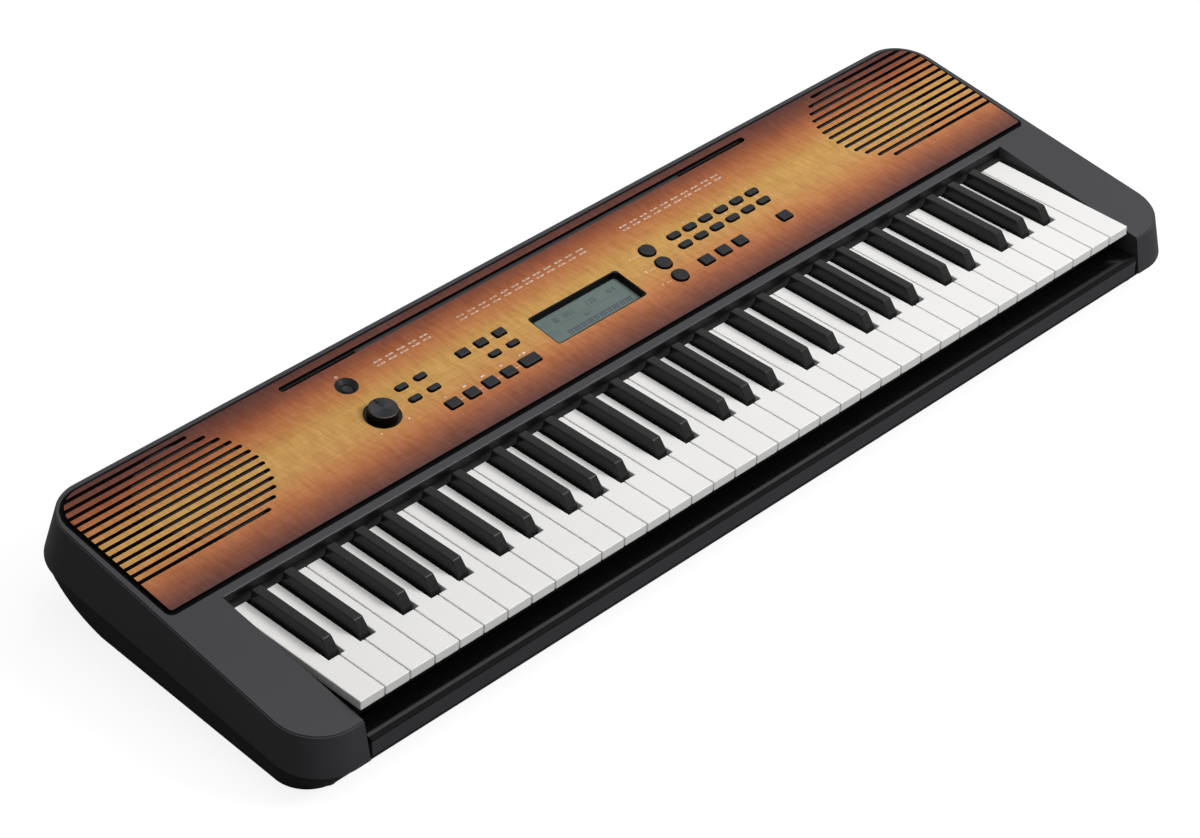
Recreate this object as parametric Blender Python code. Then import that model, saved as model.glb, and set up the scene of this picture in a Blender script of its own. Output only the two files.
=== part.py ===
"""Arranger keyboard with 61 keys: every piece of it as its own closed solid.

Frame: +X towards the treble end, +Y towards the back, +Z up, metres.
The origin lies on the table under the middle of the case.
"Reach" is the distance behind the front edge of the white keys.
Panel pieces are set out in the panel frame, which lies on the top of the control panel:
its y runs up the sloping deck from a line just behind the fascia, its z stands square on it.
"""
import math

import bmesh
import bpy
from mathutils import Matrix, Vector

# Clearances
TOUCH_GAP = 0.0003           # between pieces that touch each other
CUT_PAST = 0.002             # how far a cutter runs past the face that it opens
WELD = 0.00001               # points nearer than this are one point

# Keys
OCTAVES = 5
WHITES_PER_OCTAVE = 7
WHITE_PITCH = 0.02303
WHITE_GAP = 0.0010
WHITE_TOP = 0.0675           # height of the playing surface over the table
WHITE_LIP = 0.0084           # height of a white key's front
WHITE_TO_FASCIA = 0.0047     # from the end of the white tops back to the fascia
WHITE_ROUND = 0.0008
KEY_WALL = 0.0018
BLACK_NOTCH_WIDTH = 0.0143
BLACK_NOTCH_REACH = 0.0469
BLACK_BASE_WIDTH = 0.0102
BLACK_TOP_WIDTH = 0.0084
BLACK_FRONT = 0.0499         # reach of the foot of a black key's front
BLACK_SLOPE = 0.0071         # how far the front leans back up to the top
BLACK_TO_FASCIA = 0.0082
BLACK_BACK_SLOPE = 0.0020
BLACK_HEIGHT = 0.0108        # above the white tops
BLACK_ROUND = 0.0015
BLACK_SKIRT = 0.0100         # depth of a black key below the white tops
# Centres of the five black keys, as shares of the white pitch from the octave's start
BLACK_PLACES = (0.903, 2.154, 3.878, 5.033, 6.188)

# Key combs: the keys of a comb hang on one bar at the back
HINGE_BEHIND_FASCIA = 0.0608
BAR_DEPTH = 0.0080
BAR_HEIGHT = 0.0060
BAR_GAP = 0.0005
LOWEST_BAR = 0.0445
TAIL_WIDTH = 0.0070
TAIL_HEIGHT = 0.0065
TAIL_DROP = 0.0015           # white tails lie this far under the playing surface
LEG_DEPTH = 0.0070
KEY_DIP_DEGREES = 3.0

# Case
BAY_SIDE_GAP = 0.0035        # from the end keys to the cheeks
CHEEK_WIDTH = 0.0525         # cheek, at the parting edge
FASCIA_REACH = 0.1392        # reach of the fascia behind the keys
FASCIA_DEPTH = 0.0077        # height of the fascia
DECK_AT_FASCIA = 0.0783      # height of the deck at the fascia
DECK_TILT = math.radians(7.9)
CASE_WALL = 0.0025
DECK_THICKNESS = 0.0035
CHEEK_TOP_EXTRA = 0.0005     # the deck is this much thicker over the cheeks
FRONT_OVERHANG = 0.0137      # parting edge in front of the keys
FRONT_DRAFT = 0.0055
REAR_DRAFT = 0.0138
SIDE_DRAFT_FRONT = 0.0039
SIDE_DRAFT_REAR = 0.0080
EDGE_STEP = 0.0010           # small step that runs round the deck's edge
PARTING_FRONT = 0.0256
PARTING_SLOPE = 0.1035
DECK_CORNER_FRONT = 0.038
DECK_CORNER_REAR = 0.035
PARTING_CORNER_FRONT = 0.040
PARTING_CORNER_REAR = 0.044
CORNER_STEPS = 9

# Lower case
LOWER_INSET = 0.0012         # the lower case stands back from the parting edge
LOWER_WALL = 0.0025
FOOT_HEIGHT = 0.0025
HULL_FRONT = 0.0198          # how far the bottom stands back at the front
HULL_SIDE_FRONT = 0.0080
HULL_SIDE_REAR = 0.0185
HULL_REAR = 0.0270
HULL_CORNERS = (0.030, 0.045)  # at the front and at the rear
HULL_BULGE = 0.0025          # outward swell of the sides at half height
FOOT_RADIUS = 0.0070
FOOT_IN = 0.0175             # feet stand in from the bottom's edges
FOOT_BEHIND_FRONT = 0.0080
FOOT_BEFORE_REAR = 0.0120

# Control panel, in the panel frame
STRIP_DEPTH = 0.0117         # from the fascia to the panel frame's line
PANEL_FRONT = -0.0023
PANEL_MARGIN = 0.0153        # from the parting edge's half width to the panel's end
PANEL_PROUD = 0.0020
PANEL_THICKNESS = 0.0033
PANEL_CORNER_FRONT = 0.0025
PANEL_CORNER_REAR = 0.025
PANEL_GAP = 0.0034           # open joint round the panel
REAR_RIM = 0.0046            # deck left behind the panel's joint
RECESS_CORNER_FRONT = 0.0065

# Speakers and their slots, in the panel frame
SPEAKER_FROM_END = 0.0948    # from the panel's end to the speaker's centre
SPEAKER_BEHIND_HINGE = 0.02925
SPEAKER_TO_PANEL_REAR = 0.0028
SPEAKER_RADIUS = 0.0500
SLOT_COUNT = 13
SLOT_PITCH = 0.00786
SLOT_WIDTH = 0.0032
SLOT_CIRCLE = 0.0534         # the slots' inner ends lie on this circle
SLOT_DEPTH = 0.0018
SLOT_END_STEPS = 4
CLOTH_THICKNESS = 0.0010

# Slot for a music rest, in the panel frame
REST_SLOT_HALF = 0.2498
REST_SLOT_FLOOR_HALF = 0.1740
REST_SLOT_FROM_REAR = 0.0095  # from the slot's middle to the panel's rear
REST_SLOT_WIDTH = 0.0057

# Display, in the panel frame
DISPLAY_HALF = 0.0480
DISPLAY_Y = 0.0504
DISPLAY_DEPTH = 0.0362
DISPLAY_SUNK = 0.0040
DISPLAY_CORNER = 0.0030
DISPLAY_LEAN = 0.0012        # the frame's walls lean in this much
DISPLAY_GLASS = 0.0012

# Controls, in the panel frame
CAP_PROUD = 0.0020
CAP_CLEARANCE = 0.0004
CAP_ROUND = 0.0006
CAP_CORNER_STEPS = 2
CAP_TRAVEL = 0.0010
FLANGE_LIP = 0.0012
FLANGE_THICKNESS = 0.0012
BOARD_THICKNESS = 0.0016
CONTROL_X = -0.2070          # power button and volume knob
POWER_Y = 0.0960
POWER_DISH_RADIUS = 0.0089
POWER_DISH_FLOOR = 0.0050
POWER_RADIUS = 0.0040
POWER_SUNK = 0.0026
KNOB_Y = 0.0560
KNOB_RECESS_RADIUS = 0.0146
KNOB_RECESS_DEPTH = 0.0008
KNOB_RADIUS = 0.0120
KNOB_TOP_RADIUS = 0.0115
KNOB_HEIGHT = 0.0090
SHAFT_RADIUS = 0.0030
POT_RADIUS = 0.0085
POT_HEIGHT = 0.0100

# Openings, boards and other inner pieces
POCKET_OVERLAP = 0.0002      # the slots open this far into the pocket under them
DISPLAY_RIM = 0.0005
KNOB_WALL = 0.0020
POINTER_WIDTH = 0.0016
POINTER_LENGTH = 0.0060
POINTER_DEPTH = 0.0006
OPENING_GAP = 0.0020         # from the panel board to the opening in the deck round it
SPEAKER_SEAT = 0.0040        # width of the deck's rim that carries the speaker cloth
SPEAKER_FLANGE = 0.0020
SPEAKER_CONE_DEPTH = 0.0200
SPEAKER_CONE_RADIUS = 0.0240
MAGNET_RADIUS = 0.0210
MAGNET_DEPTH = 0.0100
POST_RADIUS = 0.0025
POST_IN = 0.0060
BATTERY_X = -0.0600
BATTERY_HALF = 0.0950
BATTERY_FRONT = 0.2120
BATTERY_DEPTH = 0.0480
BATTERY_TOP = 0.0380
MAIN_BOARD_X = 0.1700
MAIN_BOARD_HALF = 0.0800
MAIN_BOARD_FRONT = 0.2150
MAIN_BOARD_DEPTH = 0.0460
MAIN_BOARD_Z = 0.0140
CHASSIS_TOP = 0.0425         # height of the plate under the keys
CHASSIS_THICKNESS = 0.0025
CHASSIS_FRONT = 0.0145       # reach of the chassis's front edge
CHASSIS_RIB = 0.0030
CHASSIS_RIBS = 5
CHASSIS_SIDE_GAP = 0.0040
STOP_DEPTH = 0.0060
CONTACT_BOARD_FRONT = 0.0750
CONTACT_BOARD_DEPTH = 0.0450
RAIL_SETBACK = 0.0019        # the rail's face stands behind the parting edge
RAIL_SIDE_GAP = 0.0030
RAIL_FACE_TOP = 0.0397       # height of the crease over the rail's flat face
RAIL_CREST = 0.0428          # height of the rounded top
RAIL_CREST_BACK = 0.0100     # from the face back to the crest
RAIL_BACK_TOP = 0.0408
RAIL_BACK_REACH = 0.0120
RAIL_ROUNDNESS = 2.4         # higher rises more steeply from the crease
RAIL_STEPS = 7
JACK_LIP = 0.0030
JACK_BODY_DEPTH = 0.0120

# Sizes that follow from the ones above
DECK_SLOPE = math.tan(DECK_TILT)
KEYS_WIDTH = (OCTAVES * WHITES_PER_OCTAVE + 1) * WHITE_PITCH
OCTAVE_WIDTH = WHITES_PER_OCTAVE * WHITE_PITCH
BAY_HALF = KEYS_WIDTH / 2 + BAY_SIDE_GAP
CASE_HALF = BAY_HALF + CHEEK_WIDTH
PANEL_HALF = CASE_HALF - PANEL_MARGIN
WHITE_BACK = FASCIA_REACH - WHITE_TO_FASCIA
BLACK_BACK = FASCIA_REACH - BLACK_TO_FASCIA
HINGE_REACH = FASCIA_REACH + HINGE_BEHIND_FASCIA
SPEAKER_Y = (HINGE_BEHIND_FASCIA + SPEAKER_BEHIND_HINGE - STRIP_DEPTH) / math.cos(DECK_TILT)
PANEL_REAR = SPEAKER_Y + SPEAKER_RADIUS + SPEAKER_TO_PANEL_REAR
REST_SLOT_Y = PANEL_REAR - REST_SLOT_FROM_REAR
DECK_LENGTH_BEHIND = STRIP_DEPTH + (PANEL_REAR + PANEL_GAP + REAR_RIM) * math.cos(DECK_TILT)
REAR_REACH = FASCIA_REACH + DECK_LENGTH_BEHIND + REAR_DRAFT
CASE_DEPTH = FRONT_OVERHANG + REAR_REACH
KEY_FRONT_Y = FRONT_OVERHANG - CASE_DEPTH / 2
PANEL_TOP = DECK_AT_FASCIA + STRIP_DEPTH * DECK_SLOPE + PANEL_PROUD / math.cos(DECK_TILT)
DECK_LEVEL = -PANEL_PROUD                       # the deck, seen in the panel frame
RECESS_LEVEL = -PANEL_THICKNESS - TOUCH_GAP
BOARD_TOP = -PANEL_THICKNESS - TOUCH_GAP - FLANGE_THICKNESS - CAP_TRAVEL - TOUCH_GAP
SPEAKER_X = PANEL_HALF - SPEAKER_FROM_END
BOARD_MARGIN = 2 * POST_RADIUS + CAP_CLEARANCE  # room for a post beside the flanges
FLOOR_TOP = FOOT_HEIGHT + LOWER_WALL


def at_reach(reach):
    """Give the Y of a place that lies this far behind the white keys' front."""
    return KEY_FRONT_Y + reach


def deck_height(y):
    """Give the deck's height at a Y."""
    return DECK_AT_FASCIA + (y - at_reach(FASCIA_REACH)) * DECK_SLOPE


def parting_height(y):
    """Give the height of the joint between the two case halves at a Y."""
    return PARTING_FRONT + (y - at_reach(-FRONT_OVERHANG)) * PARTING_SLOPE


REAR_WALL_HEIGHT = deck_height(at_reach(REAR_REACH - REAR_DRAFT)) - parting_height(at_reach(REAR_REACH))

# Buttons: name, width, depth, corner radius, and the places of the caps that one piece carries
PILL_ROWS = (0.0564, 0.0695)
LEFT_GRID = -0.1568
LEFT_STEP = 0.0189
MIDDLE_ROWS = (0.0545, 0.0699)
FRONT_ROW = 0.0328
ROUND_X = 0.0840
ROUND_ROWS = (0.0324, 0.0509, 0.0692)
PAD_START = 0.1143
PAD_STEP = 0.01795
PAD_COUNT = 6
RIGHT_SQUARES = 0.1142
RIGHT_STEP = 0.0191
END_BUTTON_X = 0.2040


def button_table():
    """List the buttons, each with its cap size and the places of its caps."""
    table = []
    for row, name in zip(MIDDLE_ROWS, ("pills_front", "pills_rear")):
        table.append((name, 0.0105, 0.0050, 0.0022, [(LEFT_GRID - LEFT_STEP, row), (LEFT_GRID, row)]))
    table.append(("small_pills", 0.0105, 0.0050, 0.0022, [(LEFT_GRID + (3.3 + i) * LEFT_STEP, MIDDLE_ROWS[0])
                                                          for i in range(2)]))
    for i in range(3):
        table.append((f"mode_button_{i + 1}", 0.0103, 0.0070, 0.0012,
                      [(LEFT_GRID + (2.3 + i) * LEFT_STEP, MIDDLE_ROWS[1])]))
    for i in range(4):
        table.append((f"transport_button_{i + 1}", 0.0116, 0.0092, 0.0014,
                      [(LEFT_GRID + i * LEFT_STEP, FRONT_ROW)]))
    table.append(("start_button", 0.0170, 0.0095, 0.0014, [(LEFT_GRID + 4.15 * LEFT_STEP, FRONT_ROW)]))
    for i, row in enumerate(ROUND_ROWS):
        table.append((f"round_button_{i + 1}", 0.0140, 0.0140, 0.00695, [(ROUND_X, row)]))
    for row, name in zip(PILL_ROWS, ("number_pads_front", "number_pads_rear")):
        table.append((name, 0.0123, 0.0060, 0.0029, [(PAD_START + i * PAD_STEP, row)
                                                     for i in range(PAD_COUNT)]))
    for i in range(3):
        table.append((f"category_button_{i + 1}", 0.0115, 0.0093, 0.0014,
                      [(RIGHT_SQUARES + i * RIGHT_STEP, FRONT_ROW)]))
    table.append(("end_button", 0.0115, 0.0093, 0.0014, [(END_BUTTON_X, FRONT_ROW)]))
    return table


BUTTONS = button_table()


def control_area(margin):
    """Give the rectangle that holds every control, as x and y from low to high."""
    reach = FLANGE_LIP + margin
    xs = [x + sign * (width / 2 + reach) for _, width, _, _, places in BUTTONS
          for x, _ in places for sign in (-1, 1)]
    ys = [y + sign * (depth / 2 + reach) for _, _, depth, _, places in BUTTONS
          for _, y in places for sign in (-1, 1)]
    dish = POWER_DISH_FLOOR + reach
    knob = POT_RADIUS + margin
    xs += [CONTROL_X - dish, CONTROL_X - knob]
    ys += [POWER_Y + dish, KNOB_Y - knob]
    return min(xs), max(xs), min(ys), max(ys)


def main_board_corners(inset):
    """Give the places of the main board's four posts."""
    return [(MAIN_BOARD_X + sign * (MAIN_BOARD_HALF - inset), at_reach(y)) for sign in (-1, 1)
            for y in (MAIN_BOARD_FRONT + inset, MAIN_BOARD_FRONT + MAIN_BOARD_DEPTH - inset)]


# Sockets in the rear wall: name, x, radius of the sleeve, radius of the bore
JACKS = (("headphone_jack", 0.2300, 0.0050, 0.00325), ("power_inlet", 0.2700, 0.0058, 0.0030))

# Scene and collections

for old in list(bpy.data.objects):
    bpy.data.objects.remove(old, do_unlink=True)

PARTS = bpy.data.collections.new("arranger_keyboard")
CUTTERS = bpy.data.collections.new("cutters")
bpy.context.scene.collection.children.link(PARTS)
bpy.context.scene.collection.children.link(CUTTERS)


def material(name, rgb, roughness, metallic=0.0):
    """Make a Principled material."""
    made = bpy.data.materials.new(name)
    made.use_nodes = True
    shader = made.node_tree.nodes["Principled BSDF"]
    shader.inputs["Base Color"].default_value = (*rgb, 1.0)
    shader.inputs["Roughness"].default_value = roughness
    shader.inputs["Metallic"].default_value = metallic
    made.diffuse_color = (*rgb, 1.0)
    return made


CASE_PLASTIC = material("case_plastic", (0.060, 0.060, 0.063), 0.55)
LOWER_PLASTIC = material("lower_plastic", (0.012, 0.012, 0.013), 0.60)
PANEL_FINISH = material("panel_finish", (0.30, 0.17, 0.06), 0.35)
WHITE_PLASTIC = material("white_plastic", (0.80, 0.80, 0.77), 0.30)
BLACK_PLASTIC = material("black_plastic", (0.025, 0.025, 0.026), 0.40)
BUTTON_PLASTIC = material("button_plastic", (0.030, 0.030, 0.032), 0.35)
KNOB_METAL = material("knob_finish", (0.45, 0.45, 0.46), 0.30, 1.0)
RUBBER = material("rubber", (0.015, 0.015, 0.015), 0.80)
CLOTH = material("speaker_cloth", (0.008, 0.008, 0.008), 0.95)
CHASSIS_PLASTIC = material("chassis_plastic", (0.03, 0.03, 0.03), 0.60)
BOARD_GREEN = material("circuit_board", (0.02, 0.12, 0.04), 0.50)
DISPLAY_GREY = material("display_glass", (0.35, 0.40, 0.33), 0.15)
SPEAKER_METAL = material("speaker_metal", (0.10, 0.10, 0.10), 0.40, 0.8)
CONNECTOR_PLASTIC = material("connector_plastic", (0.01, 0.01, 0.01), 0.45)


# Shapes

def add_mesh(name, mesh, finish=None, parent=None):
    """Put a mesh in the scene: with a finish it is a part, without one it is a cutter."""
    made = bpy.data.objects.new(name, mesh)
    if finish is None:
        made.hide_render = True
        made.display_type = "WIRE"
        CUTTERS.objects.link(made)
    else:
        mesh.materials.clear()
        mesh.materials.append(finish)
        PARTS.objects.link(made)
    made.parent = parent
    return made


def mesh_of(bm, name):
    """Turn a bmesh into a mesh with its faces pointing out."""
    bmesh.ops.recalc_face_normals(bm, faces=bm.faces)
    mesh = bpy.data.meshes.new(name)
    bm.to_mesh(mesh)
    bm.free()
    return mesh


def add_box(bm, x_low, x_high, y_low, y_high, z_low, z_high):
    """Add a box between two corners to a bmesh."""
    middle = Vector((x_low + x_high, y_low + y_high, z_low + z_high)) / 2
    size = (x_high - x_low, y_high - y_low, z_high - z_low)
    place = Matrix.Translation(middle) @ Matrix.Diagonal((*size, 1.0))
    bmesh.ops.create_cube(bm, size=1.0, matrix=place)


def boxes(name, corners, finish=None, parent=None):
    """Make one object of boxes, each given as x, y and z from low to high."""
    bm = bmesh.new()
    for corner in corners:
        add_box(bm, *corner)
    return add_mesh(name, mesh_of(bm, name), finish, parent)


def add_drum(bm, x, y, z_low, z_high, radius, top_radius=None, sides=32):
    """Add an upright cylinder or cone to a bmesh."""
    bmesh.ops.create_cone(
        bm, cap_ends=True, segments=sides, radius1=radius,
        radius2=radius if top_radius is None else top_radius,
        depth=z_high - z_low, matrix=Matrix.Translation((x, y, (z_low + z_high) / 2)))


def drums(name, places, finish=None, parent=None):
    """Make one object of drums, each given as the values that add_drum takes."""
    bm = bmesh.new()
    for place in places:
        add_drum(bm, *place)
    return add_mesh(name, mesh_of(bm, name), finish, parent)


def arc(x, y, radius, start, end, steps):
    """Give points along an arc, with its angles in degrees."""
    points = []
    for step in range(steps + 1):
        angle = math.radians(start + (end - start) * step / steps)
        points.append((x + radius * math.cos(angle), y + radius * math.sin(angle)))
    return points


def rounded_outline(x_low, x_high, y_low, y_high, front_radius, rear_radius, steps=CORNER_STEPS):
    """Give a rectangle's outline with round corners, anticlockwise from the front right."""
    return (
        arc(x_high - front_radius, y_low + front_radius, front_radius, -90, 0, steps)
        + arc(x_high - rear_radius, y_high - rear_radius, rear_radius, 0, 90, steps)
        + arc(x_low + rear_radius, y_high - rear_radius, rear_radius, 90, 180, steps)
        + arc(x_low + front_radius, y_low + front_radius, front_radius, 180, 270, steps))


def plate_mesh(name, outlines, z_low, z_high):
    """Make a flat plate's mesh from outlines drawn as a filled 2D curve."""
    curve = bpy.data.curves.new(name, "CURVE")
    curve.dimensions = "2D"
    curve.fill_mode = "BOTH"
    curve.extrude = (z_high - z_low) / 2
    for outline in outlines:
        spline = curve.splines.new("POLY")
        spline.points.add(len(outline) - 1)
        for point, (x, y) in zip(spline.points, outline):
            point.co = (x, y, 0.0, 1.0)
        spline.use_cyclic_u = True
    drawn = bpy.data.objects.new(name, curve)
    bpy.context.scene.collection.objects.link(drawn)
    bpy.context.view_layer.update()
    evaluated = drawn.evaluated_get(bpy.context.evaluated_depsgraph_get())
    mesh = bpy.data.meshes.new_from_object(evaluated)
    bpy.data.objects.remove(drawn, do_unlink=True)
    bpy.data.curves.remove(curve)
    bm = bmesh.new()
    bm.from_mesh(mesh)
    bpy.data.meshes.remove(mesh)
    bmesh.ops.remove_doubles(bm, verts=bm.verts, dist=WELD)
    bmesh.ops.translate(bm, verts=bm.verts, vec=(0, 0, (z_low + z_high) / 2))
    bmesh.ops.dissolve_limit(bm, angle_limit=0.001, verts=bm.verts, edges=bm.edges)
    return mesh_of(bm, name)


def round_top(mesh, radius, steps=1):
    """Round the edges round a mesh's highest flat faces."""
    bm = bmesh.new()
    bm.from_mesh(mesh)
    level = max(vert.co.z for vert in bm.verts)
    on_top = [edge for edge in bm.edges
              if all(abs(vert.co.z - level) < WELD for vert in edge.verts)
              and any(abs(face.normal.z) < 0.9 for face in edge.link_faces)]
    bmesh.ops.bevel(bm, geom=on_top, offset=radius, segments=steps, profile=0.5, affect="EDGES")
    bm.to_mesh(mesh)
    bm.free()
    return mesh


def plate(name, outlines, z_low, z_high, finish=None, parent=None, rounding=0.0):
    """Make a flat plate, with its top edges rounded where a radius is given."""
    mesh = plate_mesh(name, outlines, z_low, z_high)
    if rounding:
        round_top(mesh, rounding)
    return add_mesh(name, mesh, finish, parent)


def add_loft(bm, loops):
    """Add a closed loft through loops of as many points each."""
    rings = [[bm.verts.new(point) for point in loop] for loop in loops]
    count = len(rings[0])
    for lower, upper in zip(rings, rings[1:]):
        for i in range(count):
            following = (i + 1) % count
            bm.faces.new((lower[i], lower[following], upper[following], upper[i]))
    bm.faces.new(rings[0])
    bm.faces.new(rings[-1])


def loft(name, loops, finish=None, parent=None):
    """Make a closed loft."""
    bm = bmesh.new()
    add_loft(bm, loops)
    return add_mesh(name, mesh_of(bm, name), finish, parent)


def side_profile(name, outline, spans, finish=None):
    """Make prisms along X from one outline in Y and Z, each over a span of X."""
    bm = bmesh.new()
    for x_low, x_high in spans:
        add_loft(bm, [[(x, y, z) for y, z in outline] for x in (x_low, x_high)])
    return add_mesh(name, mesh_of(bm, name), finish)


def change(target, operation, tools):
    """Join to a part, or cut from it, each of the tools in turn."""
    for tool in tools:
        step = target.modifiers.new(tool.name, "BOOLEAN")
        step.operation = operation
        step.solver = "EXACT"
        step.object = tool


def cut(target, *tools):
    """Cut tools out of a part."""
    change(target, "DIFFERENCE", tools)


def join(target, *tools):
    """Join tools to a part."""
    change(target, "UNION", tools)


def smooth(part, degrees=30):
    """Shade a round piece smooth between its sharp edges."""
    part.data.shade_smooth()
    part.data.set_sharp_from_angle(angle=math.radians(degrees))


# Frames

panel_frame = bpy.data.objects.new("panel_frame", None)
panel_frame.location = (0.0, at_reach(FASCIA_REACH + STRIP_DEPTH), PANEL_TOP)
panel_frame.rotation_euler = (DECK_TILT, 0.0, 0.0)
PARTS.objects.link(panel_frame)


# Case

def tapered(points, still_x, far_x, y_front, y_rear, shrink):
    """Draw an outline in towards the back, from nothing at y_front to shrink at y_rear."""
    drawn = []
    for x, y in points:
        share = (y - y_front) / (y_rear - y_front)
        drawn.append((x - (x - still_x) / (far_x - still_x) * shrink * share, y))
    return drawn


def at_heights(points, height_of, drop=0.0):
    """Lift an outline to the height that a function of Y gives."""
    return [(x, y, height_of(y) - drop) for x, y in points]


def deck_outline(inset):
    """Give the deck's outline, drawn in by inset."""
    front = at_reach(FRONT_DRAFT - FRONT_OVERHANG)
    rear = at_reach(REAR_REACH - REAR_DRAFT)
    half = CASE_HALF - SIDE_DRAFT_FRONT - inset
    outline = rounded_outline(-half, half, front + inset, rear - inset,
                              DECK_CORNER_FRONT - inset, DECK_CORNER_REAR - inset)
    return tapered(outline, 0.0, half, front, rear, SIDE_DRAFT_REAR - SIDE_DRAFT_FRONT)


def parting_outline(inset):
    """Give the outline of the joint between the case halves, drawn in by inset."""
    half = CASE_HALF - inset
    return rounded_outline(-half, half, at_reach(-FRONT_OVERHANG) + inset, at_reach(REAR_REACH) - inset,
                           PARTING_CORNER_FRONT - inset, PARTING_CORNER_REAR - inset)


def rear_cavity():
    """Make the cutter for the hollow behind the fascia."""
    front = at_reach(FASCIA_REACH) + CASE_WALL
    rear = at_reach(REAR_REACH) - CASE_WALL
    half = CASE_HALF - CASE_WALL
    side_lean = (SIDE_DRAFT_FRONT + SIDE_DRAFT_REAR) / 2
    low = rounded_outline(-half, half, front, rear, CASE_WALL, PARTING_CORNER_REAR)
    high_half = half - side_lean
    rear_lean = REAR_DRAFT * (1 - DECK_THICKNESS / REAR_WALL_HEIGHT)
    high = rounded_outline(-high_half, high_half, front, rear - rear_lean, CASE_WALL, DECK_CORNER_REAR)
    high = tapered(high, 0.0, high_half, front, rear, SIDE_DRAFT_REAR - side_lean)
    return loft("rear_cavity", [at_heights(low, parting_height, CUT_PAST),
                                at_heights(high, deck_height, DECK_THICKNESS)])


def cheek_cavity(side):
    """Make the cutter for the hollow of one cheek, beside the keys."""
    inner = BAY_HALF + CASE_WALL
    front = at_reach(-FRONT_OVERHANG) + CASE_WALL
    rear = at_reach(FASCIA_REACH) + CASE_WALL + CUT_PAST
    loops = []
    levels = ((CASE_HALF - CASE_WALL, front, parting_height, CUT_PAST),
              (CASE_HALF - CASE_WALL - SIDE_DRAFT_FRONT, front + FRONT_DRAFT, deck_height,
               DECK_THICKNESS + CHEEK_TOP_EXTRA))
    for outer, y_low, height_of, drop in levels:
        radius = min(DECK_CORNER_FRONT, outer - inner - WELD * 10)
        corner = arc(outer - radius, y_low + radius, radius, -90, 0, CORNER_STEPS)
        outline = [(inner, y_low)] + corner + [(outer, rear), (inner, rear)]
        if height_of is deck_height:
            outline = tapered(outline, inner, outer, y_low, at_reach(REAR_REACH),
                              SIDE_DRAFT_REAR - SIDE_DRAFT_FRONT)
        loops.append([(side * x, y, z) for x, y, z in at_heights(outline, height_of, drop)])
    return loft(f"cheek_cavity_{side}", loops)


def build_upper_case():
    """Make the top shell: deck, cheeks, fascia, panel recess and outer walls."""
    edge = deck_outline(0.0)
    inner_edge = deck_outline(EDGE_STEP)
    case = loft("upper_case", [
        at_heights(inner_edge, deck_height),
        at_heights(inner_edge, deck_height, EDGE_STEP),
        at_heights(edge, deck_height, EDGE_STEP),
        at_heights(parting_outline(0.0), parting_height)], CASE_PLASTIC)
    bay = boxes("key_bay", [(-BAY_HALF, BAY_HALF, at_reach(-FRONT_OVERHANG) - CUT_PAST,
                             at_reach(FASCIA_REACH), 0.0, DECK_AT_FASCIA + CUT_PAST)])
    passage = boxes("key_passage", [(-BAY_HALF, BAY_HALF, at_reach(FASCIA_REACH) - CUT_PAST,
                                     at_reach(FASCIA_REACH) + CASE_WALL + CUT_PAST,
                                     0.0, DECK_AT_FASCIA - FASCIA_DEPTH)])
    half = PANEL_HALF + PANEL_GAP
    recess = plate("panel_recess", [rounded_outline(
        -half, half, PANEL_FRONT - PANEL_GAP, PANEL_REAR + PANEL_GAP,
        RECESS_CORNER_FRONT, PANEL_CORNER_REAR + PANEL_GAP)],
        RECESS_LEVEL, CUT_PAST, parent=panel_frame)
    through = RECESS_LEVEL - DECK_THICKNESS - CUT_PAST
    low_x, high_x, low_y, high_y = control_area(BOARD_MARGIN + OPENING_GAP)
    openings = boxes("floor_openings", [
        (low_x, high_x, low_y, high_y, through, 0.0),
        *[(min(x), max(x), REST_SLOT_Y - REST_SLOT_WIDTH / 2, REST_SLOT_Y + REST_SLOT_WIDTH / 2, through, 0.0)
          for x in ((-REST_SLOT_HALF, -REST_SLOT_FLOOR_HALF), (REST_SLOT_FLOOR_HALF, REST_SLOT_HALF))]],
        parent=panel_frame)
    rounds = drums("speaker_openings", [
        (side * SPEAKER_X, SPEAKER_Y, through, 0.0, SPEAKER_RADIUS - SPEAKER_SEAT) for side in (-1, 1)],
        parent=panel_frame)
    cut(case, rear_cavity(), cheek_cavity(-1), cheek_cavity(1), bay, passage, recess, openings, rounds)
    cut(case, *[jack_hole(*jack) for jack in JACKS])


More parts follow.
